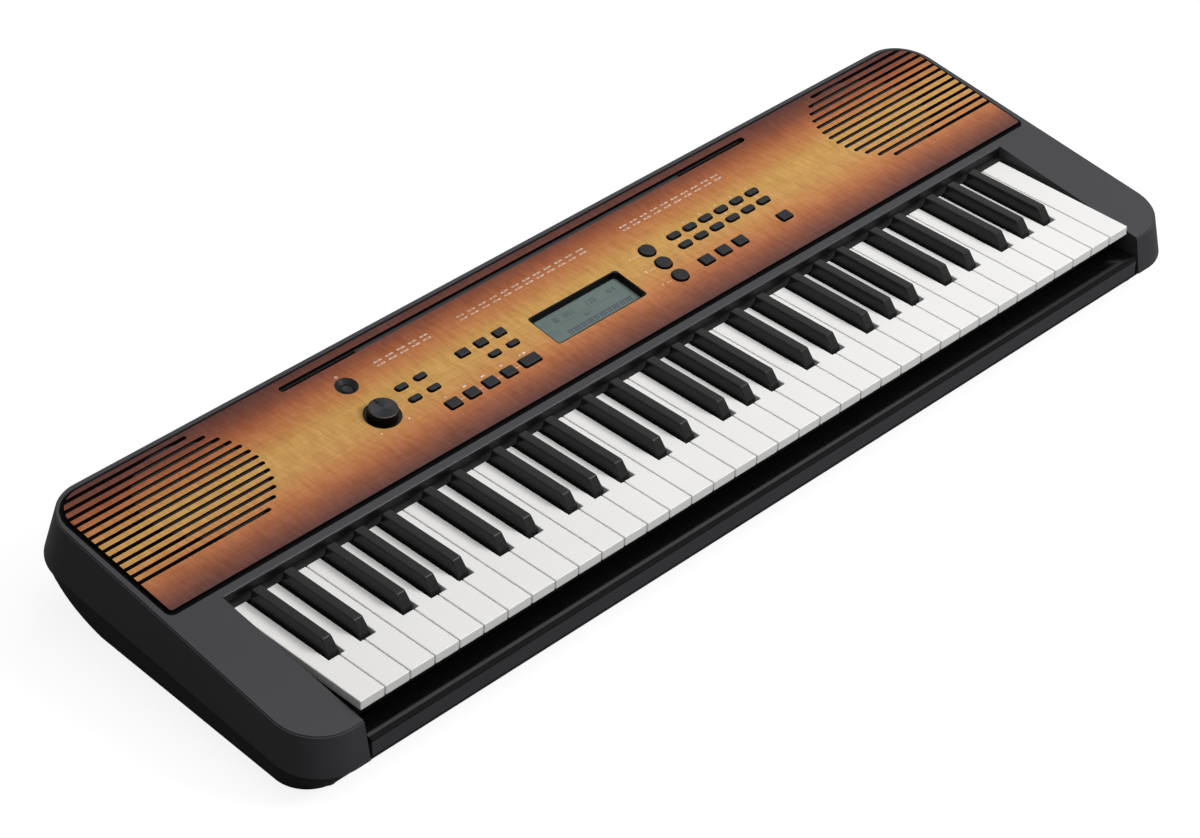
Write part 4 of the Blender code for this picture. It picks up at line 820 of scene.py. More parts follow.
def make_fascia(looks):
    """Make the glossy band that faces the fascia, the felt strip between it and the keys, and the lip along the
    deck's edge in a lighter grey, which is a painted highlight.
    """
    y = at_reach(FASCIA_REACH)

    def strip(name, gap, y_low, y_high, z_low, z_high, finish):
        return boxes(name, [(-BAY_HALF + gap, BAY_HALF - gap, y_low, y_high, z_low, z_high)], looks[finish])

    front = strip("fascia_band", 0.0004, y - 0.0008, y + 0.0002,
                  DECK_AT_FASCIA - FASCIA_DEPTH, DECK_AT_FASCIA - 0.0016, "inside_plastic")
    soften(front, 0.0003, 2)
    # Painted highlight: the lip is lighter and glossier than the case, for a bright line along the deck's front
    # edge
    lip = strip("fascia_lip", 0.0004, y - 0.0009, y + 0.0006,
                DECK_AT_FASCIA - 0.0014, DECK_AT_FASCIA + 0.0001, "rubbed_edge")
    soften(lip, 0.0007, 4)
    felt = strip("felt_strip", 0.0002, at_reach(WHITE_BACK + 0.0002), y + 0.004,
                 WHITE_TOP - 0.0012, WHITE_TOP - 0.0004, "speaker_cloth")
    for piece, slot in ((front, "button_plastic"), (lip, "case_plastic"), (felt, "speaker_cloth")):
        settle(piece, "case", slot)


def make_lower_case(looks):
    """Make the bottom tray, which leans in to its flat underside."""
    half = CASE_HALF - HULL_SIDE_FRONT
    front, rear = CASE_FRONT_Y + HULL_FRONT, CASE_REAR_Y - HULL_REAR

    def bottom(inset, height, front_inset=0.0):
        outline = rounded_outline(inset - half, half - inset, front + front_inset, rear - inset,
                                  *HULL_CORNERS)
        outline = tapered(outline, half - inset, front, rear, HULL_SIDE_REAR - HULL_SIDE_FRONT)
        return at_heights(outline, lambda y: height)

    def rim(inset):
        return at_heights(parting_outline(inset), parting_height, TOUCH_GAP)

    high = rim(HULL_SETBACK)
    tray = loft("lower_case_shell", [
        bottom(0.0025, BOTTOM_Z, 0.0025), bottom(0.0008, BOTTOM_Z + 0.0003, 0.0008)] + [
        blended(bottom(-4 * share * HULL_BULGE, BOTTOM_Z), high, share)
        for share in (0.04, 0.1, 0.2, 0.3, 0.4, 0.5, 0.6, 0.7, 0.8, 0.9)] + [high,
        rim(HULL_SETBACK + CASE_WALL), bottom(CASE_WALL, BOTTOM_Z + CASE_WALL, CASE_WALL)],
        looks["lower_plastic"])
    (x_low, y_low, _), (x_high, y_high, _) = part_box("battery_cover")
    combine(tray, "DIFFERENCE", [boxes("cover_hole", [
        (x_low - TOUCH_GAP, x_high + TOUCH_GAP, y_low - TOUCH_GAP, y_high + TOUCH_GAP,
         0.0, COVER_HOLE_TOP)])])
    soften(tray, 0.0003, 2)
    settle(tray, "case", "lower_plastic", "lower_case")


def make_battery_cover(looks):
    """Make the battery cover with its grip ribs."""
    low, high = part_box("battery_cover")
    cover = boxes("battery_cover_plate", [[v for pair in zip(low, high) for v in pair]],
                  looks["lower_plastic"])
    x, y = (low[0] + high[0]) / 2, low[1] + 0.010
    grips = boxes("grips", [(x - 0.012, x + 0.012, y + i * 0.003, y + i * 0.003 + 0.0012,
                             low[2] - 0.001, low[2] + 0.0006) for i in range(5)])
    combine(cover, "DIFFERENCE", [grips])
    soften(cover, 0.0003, 2)
    settle(cover, "case", "lower_plastic", "battery_cover")


def make_feet(looks):
    """Make the four rubber feet, each with a rounded edge."""
    for name in ("foot_front_left", "foot_front_right", "foot_rear_left", "foot_rear_right"):
        low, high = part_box(name)
        x, y = (low[0] + high[0]) / 2, (low[1] + high[1]) / 2
        radius = (high[0] - low[0]) / 2
        foot = drums(f"{name}_pad", [(x, y, [
            (radius - 0.0030, 0.0), (radius - 0.0010, 0.0), (radius - 0.0002, 0.0006),
            (radius, 0.0015), (radius, high[2])])], looks["rubber"])
        shade(foot, 50)
        settle(foot, "case", "rubber", name)


def make_front_rail(looks):
    """Make the rail before the keys: a flat face, a glossy rounded top, and a dull strip along its edge."""
    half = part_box("front_rail")[1][0]

    def run(name, outline, finish):
        return loft(name, [[(x, y, z) for y, z in outline] for x in (-half, half)], finish)

    face = CASE_FRONT_Y + RAIL_SETBACK
    foot = parting_height(face) + TOUCH_GAP
    back, crest = at_reach(RAIL_BACK_REACH), face + RAIL_CREST_BACK
    plate = run("front_rail_face", [(face, foot), (face, RAIL_FACE_TOP), (face + CASE_WALL, RAIL_FACE_TOP),
                                    (face + CASE_WALL, foot)], looks["case_plastic"])
    soften(plate, 0.0002, 2, 40, 40)
    shares = [step / RAIL_STEPS for step in range(RAIL_STEPS + 1)]
    rise = [(face + share * RAIL_CREST_BACK,
             RAIL_CREST - (RAIL_CREST - RAIL_FACE_TOP) * (1 - share) ** RAIL_ROUNDNESS) for share in shares]
    fall = [(crest + share * (back - crest), RAIL_CREST - (RAIL_CREST - RAIL_BACK_TOP) * share ** 2)
            for share in shares[1:]]
    under = [(back, RAIL_BACK_TOP - CASE_WALL), (crest, RAIL_CREST - CASE_WALL),
             (face + CASE_WALL, RAIL_FACE_TOP - CASE_WALL / 2), (face + 0.0001, RAIL_FACE_TOP - 0.0004)]
    top = run("front_rail_top", rise + fall + under, looks["rail_top"])
    shade(top, 40)
    line = [(y, z) for y, z in rise if y < face + RAIL_EDGE]
    strip = [(y, z + 0.00006) for y, z in line] + [(y, z - 0.0006) for y, z in line[::-1]]
    edge = run("front_rail_edge", strip, looks["rail_edge"])
    shade(edge, 40)
    settle(plate, "case", "case_plastic")
    settle(top, "case", "case_plastic", "front_rail")
    settle(edge, "case", "case_plastic")


# Control panel

def slot_outlines():
    """Give the outlines of the slots that run from each speaker out to the panel's end."""
    outlines = []
    for side in (-1, 1):
        for i in range(-(SLOT_COUNT // 2), SLOT_COUNT // 2 + 1):
            offset = i * SLOT_PITCH
            inner = SPEAKER_X - math.sqrt(SLOT_CIRCLE ** 2 - offset ** 2) + SLOT_WIDTH / 2
            y = SPEAKER_Y + offset
            outline = arc(inner, y, SLOT_WIDTH / 2, 90, 270, 10)
            outline += [(PANEL_HALF + 0.002, y - SLOT_WIDTH / 2), (PANEL_HALF + 0.002, y + SLOT_WIDTH / 2)]
            outlines.append([(side * px, py) for px, py in outline])
    return outlines


def display_outline(inset):
    """Give the display window's outline, drawn in by inset."""
    half_x, half_y, corner = DISPLAY_HALF - inset, DISPLAY_DEPTH / 2 - inset, 0.0030
    return rounded_outline(-half_x, half_x, DISPLAY_Y - half_y, DISPLAY_Y + half_y, corner, corner, 8)


def cap_outline(x, y, width, depth, corner, grow=0.0):
    """Give a button cap's outline, grown by a margin."""
    half_x, half_y, radius = width / 2 + grow, depth / 2 + grow, max(corner + grow, 0.0002)
    return rounded_outline(x - half_x, x + half_x, y - half_y, y + half_y, radius, radius, 12)


def make_panel(looks):
    """Make the decorated plate with its slots, window, button holes and dish."""
    through = -PANEL_THICKNESS - 0.002
    panel = plates("panel_plate", [rounded_outline(-PANEL_HALF, PANEL_HALF, PANEL_FRONT, PANEL_REAR,
                                                   0.0025, PANEL_CORNER)],
                   -PANEL_THICKNESS, 0.0, looks["panel_finish"], PANEL)
    soften(panel, 0.0003, 2, 40, 40)
    holes = [cap_outline(x, y, width, depth, corner, 2.2 * CAP_CLEARANCE)
             for _, width, depth, corner, places in BUTTONS for x, y in places]
    slot_end = REST_SLOT_WIDTH / 2 - WELD
    rest_slot = rounded_outline(-REST_SLOT_HALF, REST_SLOT_HALF, REST_SLOT_Y - REST_SLOT_WIDTH / 2,
                                REST_SLOT_Y + REST_SLOT_WIDTH / 2, slot_end, slot_end, 8)
    slope = (POWER_DISH_RADIUS - POWER_DISH_FLOOR) / PANEL_THICKNESS
    turned = drums("panel_turned_cuts", [
        (CONTROL_X, POWER_Y, [(POWER_DISH_FLOOR - slope * 0.002, through),
                              (POWER_DISH_RADIUS + slope * 0.002, 0.002)]),
        (CONTROL_X, KNOB_Y, [(SPINDLE_HOLE, through), (SPINDLE_HOLE, KNOB_SEAT_Z),
                             (KNOB_SEAT_RADIUS, KNOB_SEAT_Z), (KNOB_SEAT_RADIUS, 0.002)])], None, PANEL)
    pockets = at_speakers("panel_pockets", POCKET_RADIUS, through, POCKET_TOP)
    combine(panel, "DIFFERENCE", [
        plates("panel_slots", slot_outlines(), -SLOT_DEPTH, 0.002, None, PANEL),
        plates("panel_holes", holes + [display_outline(0.0), rest_slot], through, 0.002, None, PANEL),
        turned, pockets])
    shade(panel, 30)
    settle(panel, "case", "panel_finish", "control_panel")
    dish = turned_lining("power_dish_lining", POWER_Y, [
        (POWER_DISH_FLOOR + 0.0002, -PANEL_THICKNESS + 0.0002), (POWER_DISH_RADIUS - 0.0002, -0.0001),
        (POWER_DISH_RADIUS - 0.0001, 0.0001), (POWER_DISH_RADIUS + 0.0003, 0.0001),
        (POWER_DISH_RADIUS + 0.0003, -0.0002), (POWER_DISH_FLOOR + 0.0005, -PANEL_THICKNESS - 0.0001)],
        looks["inside_plastic"])
    seat = turned_lining("knob_seat_lining", KNOB_Y, [
        (SPINDLE_HOLE + 0.0002, -0.0006), (KNOB_SEAT_RADIUS - 0.0003, -0.0006),
        (KNOB_SEAT_RADIUS - 0.0001, 0.0001), (KNOB_SEAT_RADIUS + 0.0002, 0.0001),
        (KNOB_SEAT_RADIUS + 0.0002, KNOB_SEAT_Z), (SPINDLE_HOLE + 0.0002, KNOB_SEAT_Z)],
        looks["gloss_plastic"])
    for piece in (dish, seat, make_joint_lining(looks)):
        settle(piece, "case", "button_plastic")


def turned_lining(name, y, profile, finish):
    """Make a turned ring round the power button or under the knob."""
    lining = drums(name, [(CONTROL_X, y, profile)], finish, PANEL)
    open_ends(lining)
    shade(lining, 40)
    return lining


def make_joint_lining(looks):
    """Make the black ring at the bottom of the joint round the panel: a sheet of painted shade on the recess
    floor.
    """
    def ring(inset, z):
        half, radius = PANEL_HALF + PANEL_GAP - inset, PANEL_CORNER + PANEL_GAP - inset
        front, rear = PANEL_FRONT - PANEL_GAP + inset, PANEL_REAR + PANEL_GAP - inset
        return lifted(rounded_outline(-half, half, front, rear, RECESS_CORNER - inset / 2, radius), z)

    low, high = -PANEL_THICKNESS - 0.00025, -PANEL_THICKNESS - 0.00005
    # Painted shade: this near-black sheet lies on the recess floor where the joint is in shade
    loops = [ring(0.0001, low), ring(0.0001, high), ring(0.0080, high), ring(0.0080, low)]
    return loft("panel_joint_lining", loops, looks["joint_painted_shade"], PANEL, True)


def open_ends(piece):
    """Join a turned solid's two ends to each other, which leaves a ring."""
    bm = bmesh.new()
    bm.from_mesh(piece.data)
    ends = sorted((face for face in bm.faces if len(face.verts) > 4),
                  key=lambda face: face.calc_center_median().z)
    for face in ends:
        bm.faces.remove(face)
    close_ring(bm)
    bmesh.ops.recalc_face_normals(bm, faces=bm.faces)
    bm.to_mesh(piece.data)
    bm.free()


# Buttons, knob and power switch

# Margin and height of the loops of a button's cap, and of the lip that keeps it under the panel
CAP_LOOPS = ((0.0, CAP_BOTTOM), (0.0, CAP_PROUD - 0.0007), (-0.00008, CAP_PROUD - 0.0004),
             (-0.00030, CAP_PROUD - 0.00015), (-0.0007, CAP_PROUD - 0.00004), (-0.0016, CAP_PROUD))
LIP_LOOPS = ((0.0012, CAP_BOTTOM - 0.0012), (0.0012, CAP_BOTTOM))


def make_buttons(looks):
    """Make the caps of every button, softly domed and rounded at the edges."""
    for name, width, depth, corner, places in BUTTONS:
        bm = bmesh.new()
        for x, y in places:
            for loops in (CAP_LOOPS, LIP_LOOPS):
                add_loft(bm, [lifted(cap_outline(x, y, width, depth, corner, grow), z) for grow, z in loops])
        caps = new_piece(f"{name}_caps", bm, looks["button_plastic"], PANEL)
        shade(caps, 45)
        settle(caps, name, "button_plastic", name)


def make_power_button(looks):
    """Make the round power button at the bottom of its dish."""
    top, radius = POWER_TOP, POWER_RADIUS
    button = drums("power_button_cap", [(CONTROL_X, POWER_Y, [
        (0.0060, CAP_BOTTOM - 0.0012), (0.0060, CAP_BOTTOM), (radius, CAP_BOTTOM), (radius, top - 0.0004),
        (radius - 0.0001, top - 0.00015), (radius - 0.0004, top), (radius - 0.0010, top),
        (radius - 0.0013, top - 0.00015), (0.0001, top - 0.00035)])], looks["connector_plastic"], PANEL)
    shade(button, 40)
    settle(button, "power_button", "button_plastic", "power_button")


def make_knob(looks):
    """Make the volume knob: a dark side, and a spun top with its pointer."""
    place = PANEL @ Matrix.Translation((CONTROL_X, KNOB_Y, 0.0))
    side = drums("knob_side", [(0.0, 0.0, [
        (0.0033, -0.0005), (0.0118, -0.0005), (0.0120, -0.0003), (0.01165, KNOB_TOP - 0.0012),
        (0.01155, KNOB_TOP - 0.0008), (0.0033, KNOB_TOP - 0.0008)])], looks["knob_side"], place, 96)
    open_ends(side)
    top = drums("knob_top", [(0.0, 0.0, [
        (0.01150, KNOB_TOP - 0.0008), (0.01150, KNOB_TOP - 0.00055), (0.01125, KNOB_TOP - 0.00025),
        (0.01080, KNOB_TOP), (0.01030, KNOB_TOP), (0.01005, KNOB_TOP - 0.00015),
        (0.00020, KNOB_TOP - 0.00035)])], looks["knob_finish"], place, 96)
    notch = boxes("knob_notch", [(-0.0008, 0.0008, 0.0053, 0.0125, KNOB_TOP - 0.0008, 0.0095)], None, place)
    combine(top, "DIFFERENCE", [notch])
    mark = boxes("knob_pointer", [(-0.00075, 0.00075, 0.0054, 0.01125, KNOB_TOP - 0.0008, KNOB_TOP - 0.0006)],
                 looks["gloss_plastic"], place)
    for piece, nodes in ((side, ["volume_knob"]), (top, []), (mark, [])):
        shade(piece, 30)
        settle(piece, "volume_knob", "knob_finish", *nodes)


# Display

def make_display(looks):
    """Make the display's glass and the black frame that leans in to it."""
    glass = plates("display_pane", [display_outline(-0.0030)], -DISPLAY_SUNK - 0.0012, -DISPLAY_SUNK,
                   looks["display_glass"], PANEL)
    settle(glass, "case", "display_glass", "display_glass")
    low, high = -DISPLAY_SUNK + 0.0003, -0.0002
    rings = [(0.0003, low), (0.0003, high), (0.0009, high), (0.0012, high - 0.0003), (0.0023, low)]
    bezel = loft("display_bezel", [lifted(display_outline(inset), z) for inset, z in rings],
                 looks["gloss_plastic"], PANEL, True)
    shade(bezel, 40)
    settle(bezel, "case", "button_plastic", "display_frame")


# Printed marks: figures and plain signs only

def add_figures(bm, items, low, high):
    """Add raised figures to a bmesh: each item is a text, its middle and its size."""
    texts = []
    for text, x, y, size in items:
        curve = bpy.data.curves.new("figures", "FONT")
        curve.body = text
        curve.size = size
        curve.align_x = curve.align_y = "CENTER"
        curve.extrude = (high - low) / 2
        curve.resolution_u = 3
        texts.append(bpy.data.objects.new("figures", curve))
        texts[-1].location = (x, y, (low + high) / 2)
        bpy.context.scene.collection.objects.link(texts[-1])
    bpy.context.view_layer.update()
    graph = bpy.context.evaluated_depsgraph_get()
    for text in texts:
        mesh = bpy.data.meshes.new_from_object(text.evaluated_get(graph))
        mesh.transform(text.matrix_world)
        bm.from_mesh(mesh)
        bpy.data.meshes.remove(mesh)
    for text in texts:
        bpy.data.curves.remove(text.data)
    bmesh.ops.remove_doubles(bm, verts=bm.verts, dist=0.000001)


def bar(x_low, x_high, y_low, y_high):
    """Give a rectangle's outline."""
    return [(x_low, y_low), (x_high, y_low), (x_high, y_high), (x_low, y_high)]


def pointer(x, y, size, way):
    """Give a triangle's outline, which points right for 1 and left for -1."""
    base, tip = x - way * size / 2, x + way * size / 2
    return [(base, y - size / 2), (tip, y), (base, y + size / 2)][::way]


def band(x, y, radius, width, start, end, steps=20):
    """Give the outline of an open ring."""
    return (arc(x, y, radius + width / 2, start, end, steps)
            + arc(x, y, radius - width / 2, end, start, steps))


def number_figures():
    """List the pads' figures, the rows of number ranges at the rear, and the round buttons' numbers."""
    figures = [(text, PAD_START + i * PAD_STEP, row, 0.0026)
               for row, texts in ((0.0765, "12345+"), (0.0637, "67890-")) for i, text in enumerate(texts)]
    for first, start, count in RANGE_GROUPS:
        for i in range(count):
            for row in range(2):
                number = first + (i * 2 + row) * 10
                figures.append((f"{number:03d}-{number + 9:03d}", start + i * RANGE_STEP,
                                RANGE_ROW - row * RANGE_ROW_STEP, RANGE_SIZE))
    return figures + [(text, 0.0655, row, 0.0034) for text, row in zip("321", (0.0330, 0.0515, 0.0700))]


def transport_signs():
    """List the signs behind the transport buttons: repeat, back, on, pause, and start and stop."""
    y, size, pause, start = 0.0418, 0.0017, button_x(3), button_x(START_STEPS)
    low, high = y - size / 2, y + size / 2
    shapes = [band(button_x(0), y, 0.0008, 0.0003, 60, 330)]
    for i, way in ((1, -1), (2, 1)):
        shapes += [pointer(button_x(i) + shift, y, size, way) for shift in (-size / 2, size / 2)]
    shapes += [bar(pause + shift - 0.0003, pause + shift + 0.0003, low, high) for shift in (-0.0006, 0.0006)]
    shapes += [pointer(start - 0.0020, y, size, 1), bar(start + 0.0012, start + 0.0012 + size, low, high)]
    shapes.append([(start - 0.0005, low), (start - 0.0003, low),
                   (start + 0.0005, high), (start + 0.0003, high)])
    return shapes


def joining_lines():
    """List the thin lines that join the buttons of a row, or lead to a round button."""
    half_width = 0.00010
    shapes = []
    for row, places, half in ((FRONT_ROW, [button_x(i) for i in range(5)], 0.0070),
                              (PILL_ROWS[1], [button_x(TRIO_STEPS + i) for i in range(3)], 0.0062)):
        shapes += [bar(a + half, b - half, row - half_width, row + half_width)
                   for a, b in zip(places, places[1:])]
    return shapes + [bar(0.0690, 0.0750, row - half_width, row + half_width) for row in ROUND_ROWS]


def make_marks(looks):
    """Print the panel's generic marks: numbers, transport and power signs, the knob's dots, and lines."""
    shapes = transport_signs()
    shapes += [band(CONTROL_X, 0.1077, 0.0011, 0.0003, 120, 420),
               bar(CONTROL_X - 0.00015, CONTROL_X + 0.00015, 0.1078, 0.1094)]
    shapes += [arc(x, 0.0412, 0.0006, 0, 330, 11) for x in (-0.2210, -0.1938)]
    bm = bmesh.new()
    add_figures(bm, number_figures(), -0.00002, 0.00005)
    add_plates(bm, shapes + joining_lines(), -0.00002, 0.00005)
    marks = new_piece("panel_marks", bm, looks["white_ink"], PANEL)
    settle(marks, "case", "white_plastic")


def make_display_figures(looks):
    """Draw what the display shows: numbers, staves, and a small keyboard."""
    low, high = -DISPLAY_SUNK - 0.00002, -DISPLAY_SUNK + 0.00004
    left, right, key = -0.0285, 0.0428, 0.0713 / 36
    shapes = [bar(-0.0307, right, 0.0527, 0.0529), bar(left, right, 0.0434, 0.0440)]
    shapes += [bar(-0.0415, -0.0325, base + i * 0.0014, base + i * 0.0014 + 0.0002)
               for base in (0.0445, 0.0555) for i in range(5)]
    shapes += [bar(left, -0.0243 + (i % 2) * 0.0014, 0.0553 + i * 0.0013, 0.0560 + i * 0.0013)
               for i in range(5)]
    shapes += [bar(left + i * key - 0.00014, left + i * key + 0.00014, 0.0374, 0.0396) for i in range(37)]
    shapes += [bar(x - 0.0007, x + 0.0007, 0.0396, 0.0434) for octave in range(5)
               for x in [left + (octave * 7 + place) * key for place in BLACK_PLACES]]
    large = 0.0074
    bm = bmesh.new()
    add_figures(bm, [("001", -0.0125, 0.0578, large), ("120", 0.0110, 0.0578, large),
                     ("4/4", 0.0330, 0.0578, large), ("001", 0.0002, 0.0487, 0.0054)], low, high)
    add_plates(bm, shapes, low, high)
    drawn = new_piece("display_figures", bm, looks["display_ink"], PANEL)
    settle(drawn, "case", "display_glass")


# Keys

def notch_edges(step):
    """Give the sides of the notches beside one white key of an octave, or None."""
    centres = [place * WHITE_PITCH for place in BLACK_PLACES]
    start, end = step * WHITE_PITCH, (step + 1) * WHITE_PITCH
    half = BLACK_NOTCH_WIDTH / 2
    left = [c + half for c in centres if abs(c - start) < half]
    right = [c - half for c in centres if abs(c - end) < half]
    return (left[0] if left else None), (right[0] if right else None)


def white_key(start, step, is_last):
    """Give a white key's outline and the span of its narrow rear part."""
    left, right = (None, None) if is_last else notch_edges(step)
    x_low = start + step * WHITE_PITCH + WHITE_GAP / 2
    x_high = start + (step + 1) * WHITE_PITCH - WHITE_GAP / 2
    front, notch, back = at_reach(0.0), at_reach(BLACK_NOTCH_REACH), at_reach(WHITE_BACK)
    rear_low = x_low if left is None else start + left
    rear_high = x_high if right is None else start + right
    outline = [(x_low, front), (x_high, front)]
    if right is not None:
        outline += [(x_high, notch), (rear_high, notch)]
    outline += [(rear_high, back), (rear_low, back)]
    if left is not None:
        outline += [(rear_low, notch), (x_low, notch)]
    return outline, (rear_low, rear_high)


def comb_bar(bm, start, width, level):
    """Add a comb's rear bar and give the height of its underside."""
    low = LOWEST_BAR + level * (BAR_HEIGHT + BAR_GAP)
    add_box(bm, start + BAR_GAP, start + width - BAR_GAP, at_reach(HINGE_REACH) - BAR_DEPTH / 2,
            at_reach(HINGE_REACH) + BAR_DEPTH / 2, low, low + BAR_HEIGHT)
    return low


def make_white_comb(name, start, steps, level, width, looks, is_last=False):
    """Make the white keys of a comb: rounded tops, hollow underneath, with tails and bar, which are coloured
    near-black as painted shade under the fascia.
    """
    keys = [white_key(start, step, is_last) for step in steps]
    tops = plates(f"{name}_tops", [outline for outline, _ in keys], WHITE_TOP - WHITE_LIP, WHITE_TOP,
                  looks["white_plastic"])
    soften(tops, 0.0009, 4, 40, 40)
    tail_start = at_reach(WHITE_BACK) - 2 * KEY_WALL
    hollows = boxes(f"{name}_hollows", [
        (low + KEY_WALL, high - KEY_WALL, at_reach(KEY_WALL), tail_start - KEY_WALL,
         WHITE_TOP - WHITE_LIP - 0.002, WHITE_TOP - KEY_WALL) for _, (low, high) in keys])
    combine(tops, "DIFFERENCE", [hollows])
    shade(tops, 40)
    bm = bmesh.new()
    bar_low = comb_bar(bm, start, width, level)
    tail_top = WHITE_TOP - TAIL_DROP
    leg_back = at_reach(HINGE_REACH) - BAR_DEPTH / 2 - LEG_SETBACK
    for _, (low, high) in keys:
        for box in ((tail_start, leg_back, tail_top - TAIL_HEIGHT, tail_top),
                    (leg_back - LEG_DEPTH, leg_back, bar_low, tail_top),
                    (leg_back - LEG_DEPTH, at_reach(HINGE_REACH), bar_low, bar_low + BAR_HEIGHT)):
            add_box(bm, (low + high) / 2 - TAIL_WIDTH / 2, (low + high) / 2 + TAIL_WIDTH / 2, *box)
    # Painted shade: the white keys' tails and bar take the near-black chassis colour, for the shade under the
    # fascia
    tails = new_piece(f"{name}_tails", bm, looks["chassis_plastic"])
    settle(tops, name, "white_plastic", name)
    settle(tails, name, "chassis_plastic")


def make_black_comb(name, start, looks):
    """Make an octave's black keys, with sloping fronts and rounded edges, and their bar."""
    low, high = WHITE_TOP - BLACK_SINK, WHITE_TOP + BLACK_RISE
    levels = ((BLACK_WIDTH, 0.0, 0.0, low), (BLACK_WIDTH, 0.0, 0.0, WHITE_TOP),
              (BLACK_TOP_WIDTH, BLACK_LEAN, BLACK_BACK_LEAN, high))
    bm = bmesh.new()
    for share in BLACK_PLACES:
        centre = start + share * WHITE_PITCH
        add_loft(bm, [lifted(bar(centre - width / 2, centre + width / 2, at_reach(BLACK_FRONT + lean),
                                 at_reach(BLACK_BACK + BLACK_BACK_LEAN - back)), z)
                      for width, lean, back, z in levels])
    keys = new_piece(f"{name}_tops", bm, looks["black_plastic"])
    soften(keys, 0.0010, 4, 40, 50)
    bm = bmesh.new()
    comb_bar(bm, start, OCTAVE_WIDTH, 2)
    for share in BLACK_PLACES:
        x = start + share * WHITE_PITCH
        add_box(bm, x - TAIL_WIDTH / 2, x + TAIL_WIDTH / 2, at_reach(BLACK_BACK) - KEY_WALL,
                at_reach(HINGE_REACH), low + BAR_GAP, low + TAIL_HEIGHT)
    tails = new_piece(f"{name}_tails", bm, looks["black_plastic"])
    settle(keys, name, "black_plastic", name)
    settle(tails, name, "black_plastic")


def make_keys(looks):
    """Make the combs of the five octaves, and the top key."""
    start = -KEYS_WIDTH / 2
    for octave in range(1, 6):
        make_white_comb(f"keys_c_e_g_b_octave_{octave}", start, (0, 2, 4, 6), 0, OCTAVE_WIDTH, looks)
        make_white_comb(f"keys_d_f_a_octave_{octave}", start, (1, 3, 5), 1, OCTAVE_WIDTH, looks)
        make_black_comb(f"keys_black_octave_{octave}", start, looks)
        start += OCTAVE_WIDTH
    make_white_comb("key_top_c", start, (0,), 0, WHITE_PITCH, looks, True)


# Sockets and speaker cloth

def make_small_parts(looks):
    """Make the sockets with their rings, and the cloth behind the slots."""
    for name, x, sleeve, bore in JACKS:
        back = -CASE_WALL - 2 * TOUCH_GAP
        half = sleeve + 0.003
        body = boxes(f"{name}_block", [(x - half, x + half, -half, half, back - 0.012, back)],
                     looks["connector_plastic"], REAR)
        ring = drums(f"{name}_ring", [(x, 0.0, [(sleeve, back - 0.003), (sleeve, -0.0004),
                                                (sleeve - 0.0004, 0.0)])], looks["connector_plastic"], REAR)
        hole = [(bore, back - 0.009), (bore, -0.0006), (bore + 0.0008, 0.0002), (bore + 0.0008, 0.002)]
        combine(ring, "DIFFERENCE", [drums("hole", [(x, 0.0, hole)], None, REAR)])
        combine(body, "DIFFERENCE", [drums("hole", [(x, 0.0, hole[:2])], None, REAR)])
        for piece, nodes in ((ring, [name]), (body, [])):
            shade(piece, 30)
            settle(piece, "case", "connector_plastic", *nodes)
    for side, name in ((-1, "left"), (1, "right")):
        disc = [(CLOTH_RADIUS, z) for z in CLOTH_HEIGHTS]
        cloth = drums(f"cloth_{name}", [(side * SPEAKER_X, SPEAKER_Y, disc)], looks["speaker_cloth"], PANEL)
        settle(cloth, "case", "speaker_cloth", f"speaker_cloth_{name}")


# The solids that show as they are

def dress_solids(looks):
    """Give a finish to the solids that no piece replaces."""
    for finish, names in (("chassis_plastic", ["keybed_chassis"]),
                          ("circuit_board", ["key_contact_board", "main_board", "panel_board"]),
                          ("speaker_metal", ["volume_pot", "speaker_left", "speaker_right"])):
        for name in names:
            materials = bpy.data.objects[name].data.materials
            materials.clear()
            materials.append(looks[finish])


# Light, floor and backdrop

def area_light(name, place, aim, size, power):
    """Hang a square lamp at a place, turned to a point."""
    data = bpy.data.lights.new(name, "AREA")
    data.shape = "RECTANGLE"
    data.size, data.size_y = size
    data.energy = power
    lamp = bpy.data.objects.new(name, data)
    bpy.context.scene.collection.objects.link(lamp)
    lamp.location = place
    lamp.rotation_euler = (Vector(aim) - Vector(place)).to_track_quat("-Z", "Y").to_euler()


def show_to_rays(tree, kinds, shown, other, output):
    """Show one shader to rays of some kinds, and the other to all the rest."""
    path = tree.nodes.new("ShaderNodeLightPath")
    seen = path.outputs[kinds[0]]
    for kind in kinds[1:]:
        both = tree.nodes.new("ShaderNodeMath")
        both.operation = "MAXIMUM"
        tree.links.new(seen, both.inputs[0])
        tree.links.new(path.outputs[kind], both.inputs[1])
        seen = both.outputs[0]
    choose = tree.nodes.new("ShaderNodeMixShader")
    for source, target in zip((seen, other.outputs[0], shown.outputs[0]), choose.inputs):
        tree.links.new(source, target)
    tree.links.new(choose.outputs[0], output.inputs["Surface"])


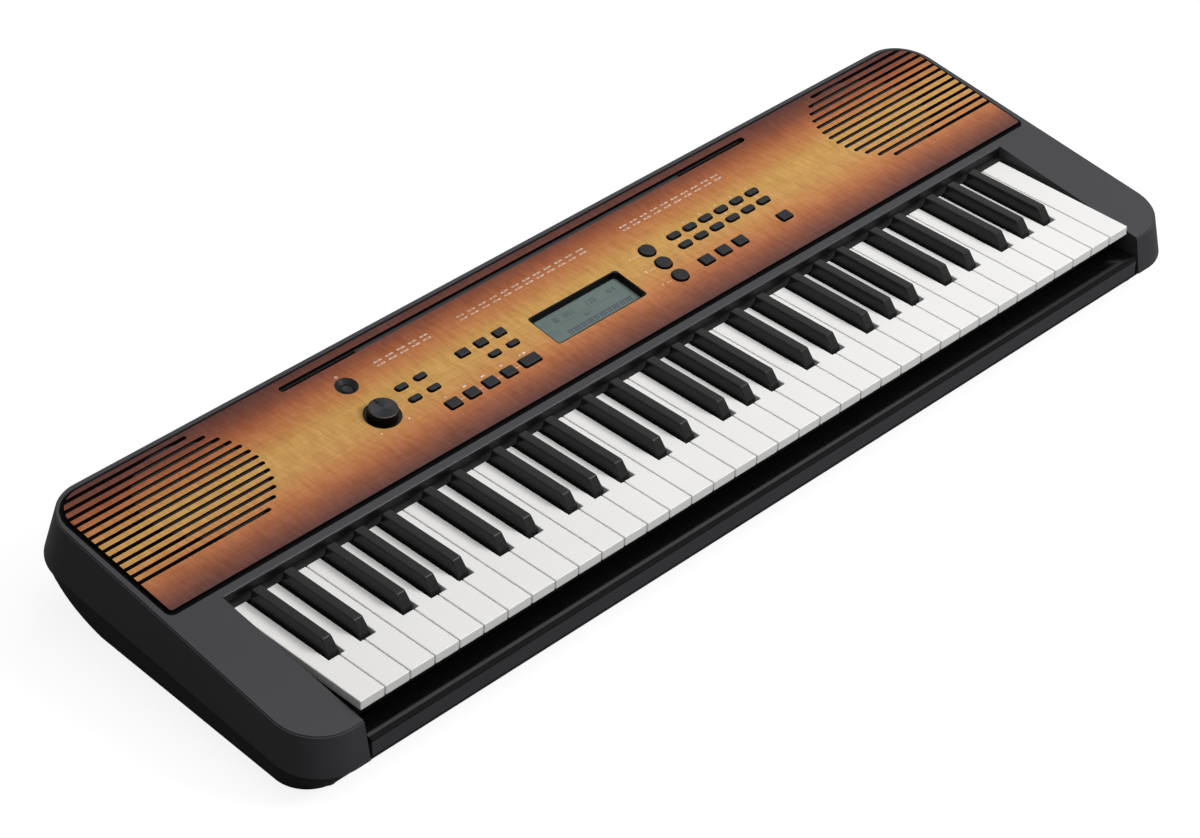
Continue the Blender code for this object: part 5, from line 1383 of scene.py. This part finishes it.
def make_world():
    """Make the world: white where it is seen, also in reflections, and dim as a light."""
    world = bpy.data.worlds.new("world")
    bpy.context.scene.world = world
    world.use_nodes = True
    tree = world.node_tree
    light, white = tree.nodes["Background"], tree.nodes.new("ShaderNodeBackground")
    for node, strength in ((light, 0.10), (white, 1.0)):
        node.inputs["Color"].default_value = (1.0, 1.0, 1.0, 1.0)
        node.inputs["Strength"].default_value = strength
    show_to_rays(tree, ("Is Camera Ray", "Is Glossy Ray", "Is Transmission Ray"), white, light,
                 tree.nodes["World Output"])


def make_floor():
    """Make the floor: for the camera nearly white, and darker where the keyboard's shadow lies."""
    material = bpy.data.materials.new("floor_look")
    material.use_nodes = True
    tree = material.node_tree
    tree.nodes.remove(tree.nodes["Principled BSDF"])
    plain = tree.nodes.new("ShaderNodeBsdfDiffuse")
    plain.inputs["Color"].default_value = (0.20, 0.20, 0.20, 1.0)
    glow = tree.nodes.new("ShaderNodeEmission")
    glow.inputs["Strength"].default_value = 0.88
    both = tree.nodes.new("ShaderNodeAddShader")
    tree.links.new(plain.outputs[0], both.inputs[0])
    tree.links.new(glow.outputs[0], both.inputs[1])
    show_to_rays(tree, ("Is Camera Ray",), both, plain, tree.nodes["Material Output"])
    boxes("floor", [(-6, 6, -6, 6, -0.02, 0.0)], material)


def light_and_floor():
    """Light the keyboard with two soft lamps, above it and high at its right front, on a white floor."""
    area_light("above", place=(0.3, -0.5, 2.2), aim=(0.1, 0.0, 0.0), size=(3.6, 2.2), power=44.0)
    area_light("front", place=(1.5, -2.1, 2.3), aim=(0.2, 0.0, 0.05), size=(1.2, 0.8), power=62.0)
    make_world()
    make_floor()
    bpy.context.scene.view_settings.view_transform = "Standard"


def main():
    """Build every piece, the light and the camera."""
    looks = make_materials()
    make_upper_case(looks)
    make_lower_case(looks)
    make_battery_cover(looks)
    make_feet(looks)
    make_front_rail(looks)
    make_panel(looks)
    make_buttons(looks)
    make_power_button(looks)
    make_knob(looks)
    make_display(looks)
    make_marks(looks)
    make_display_figures(looks)
    make_keys(looks)
    make_small_parts(looks)
    dress_solids(looks)
    light_and_floor()
    make_camera()


main()
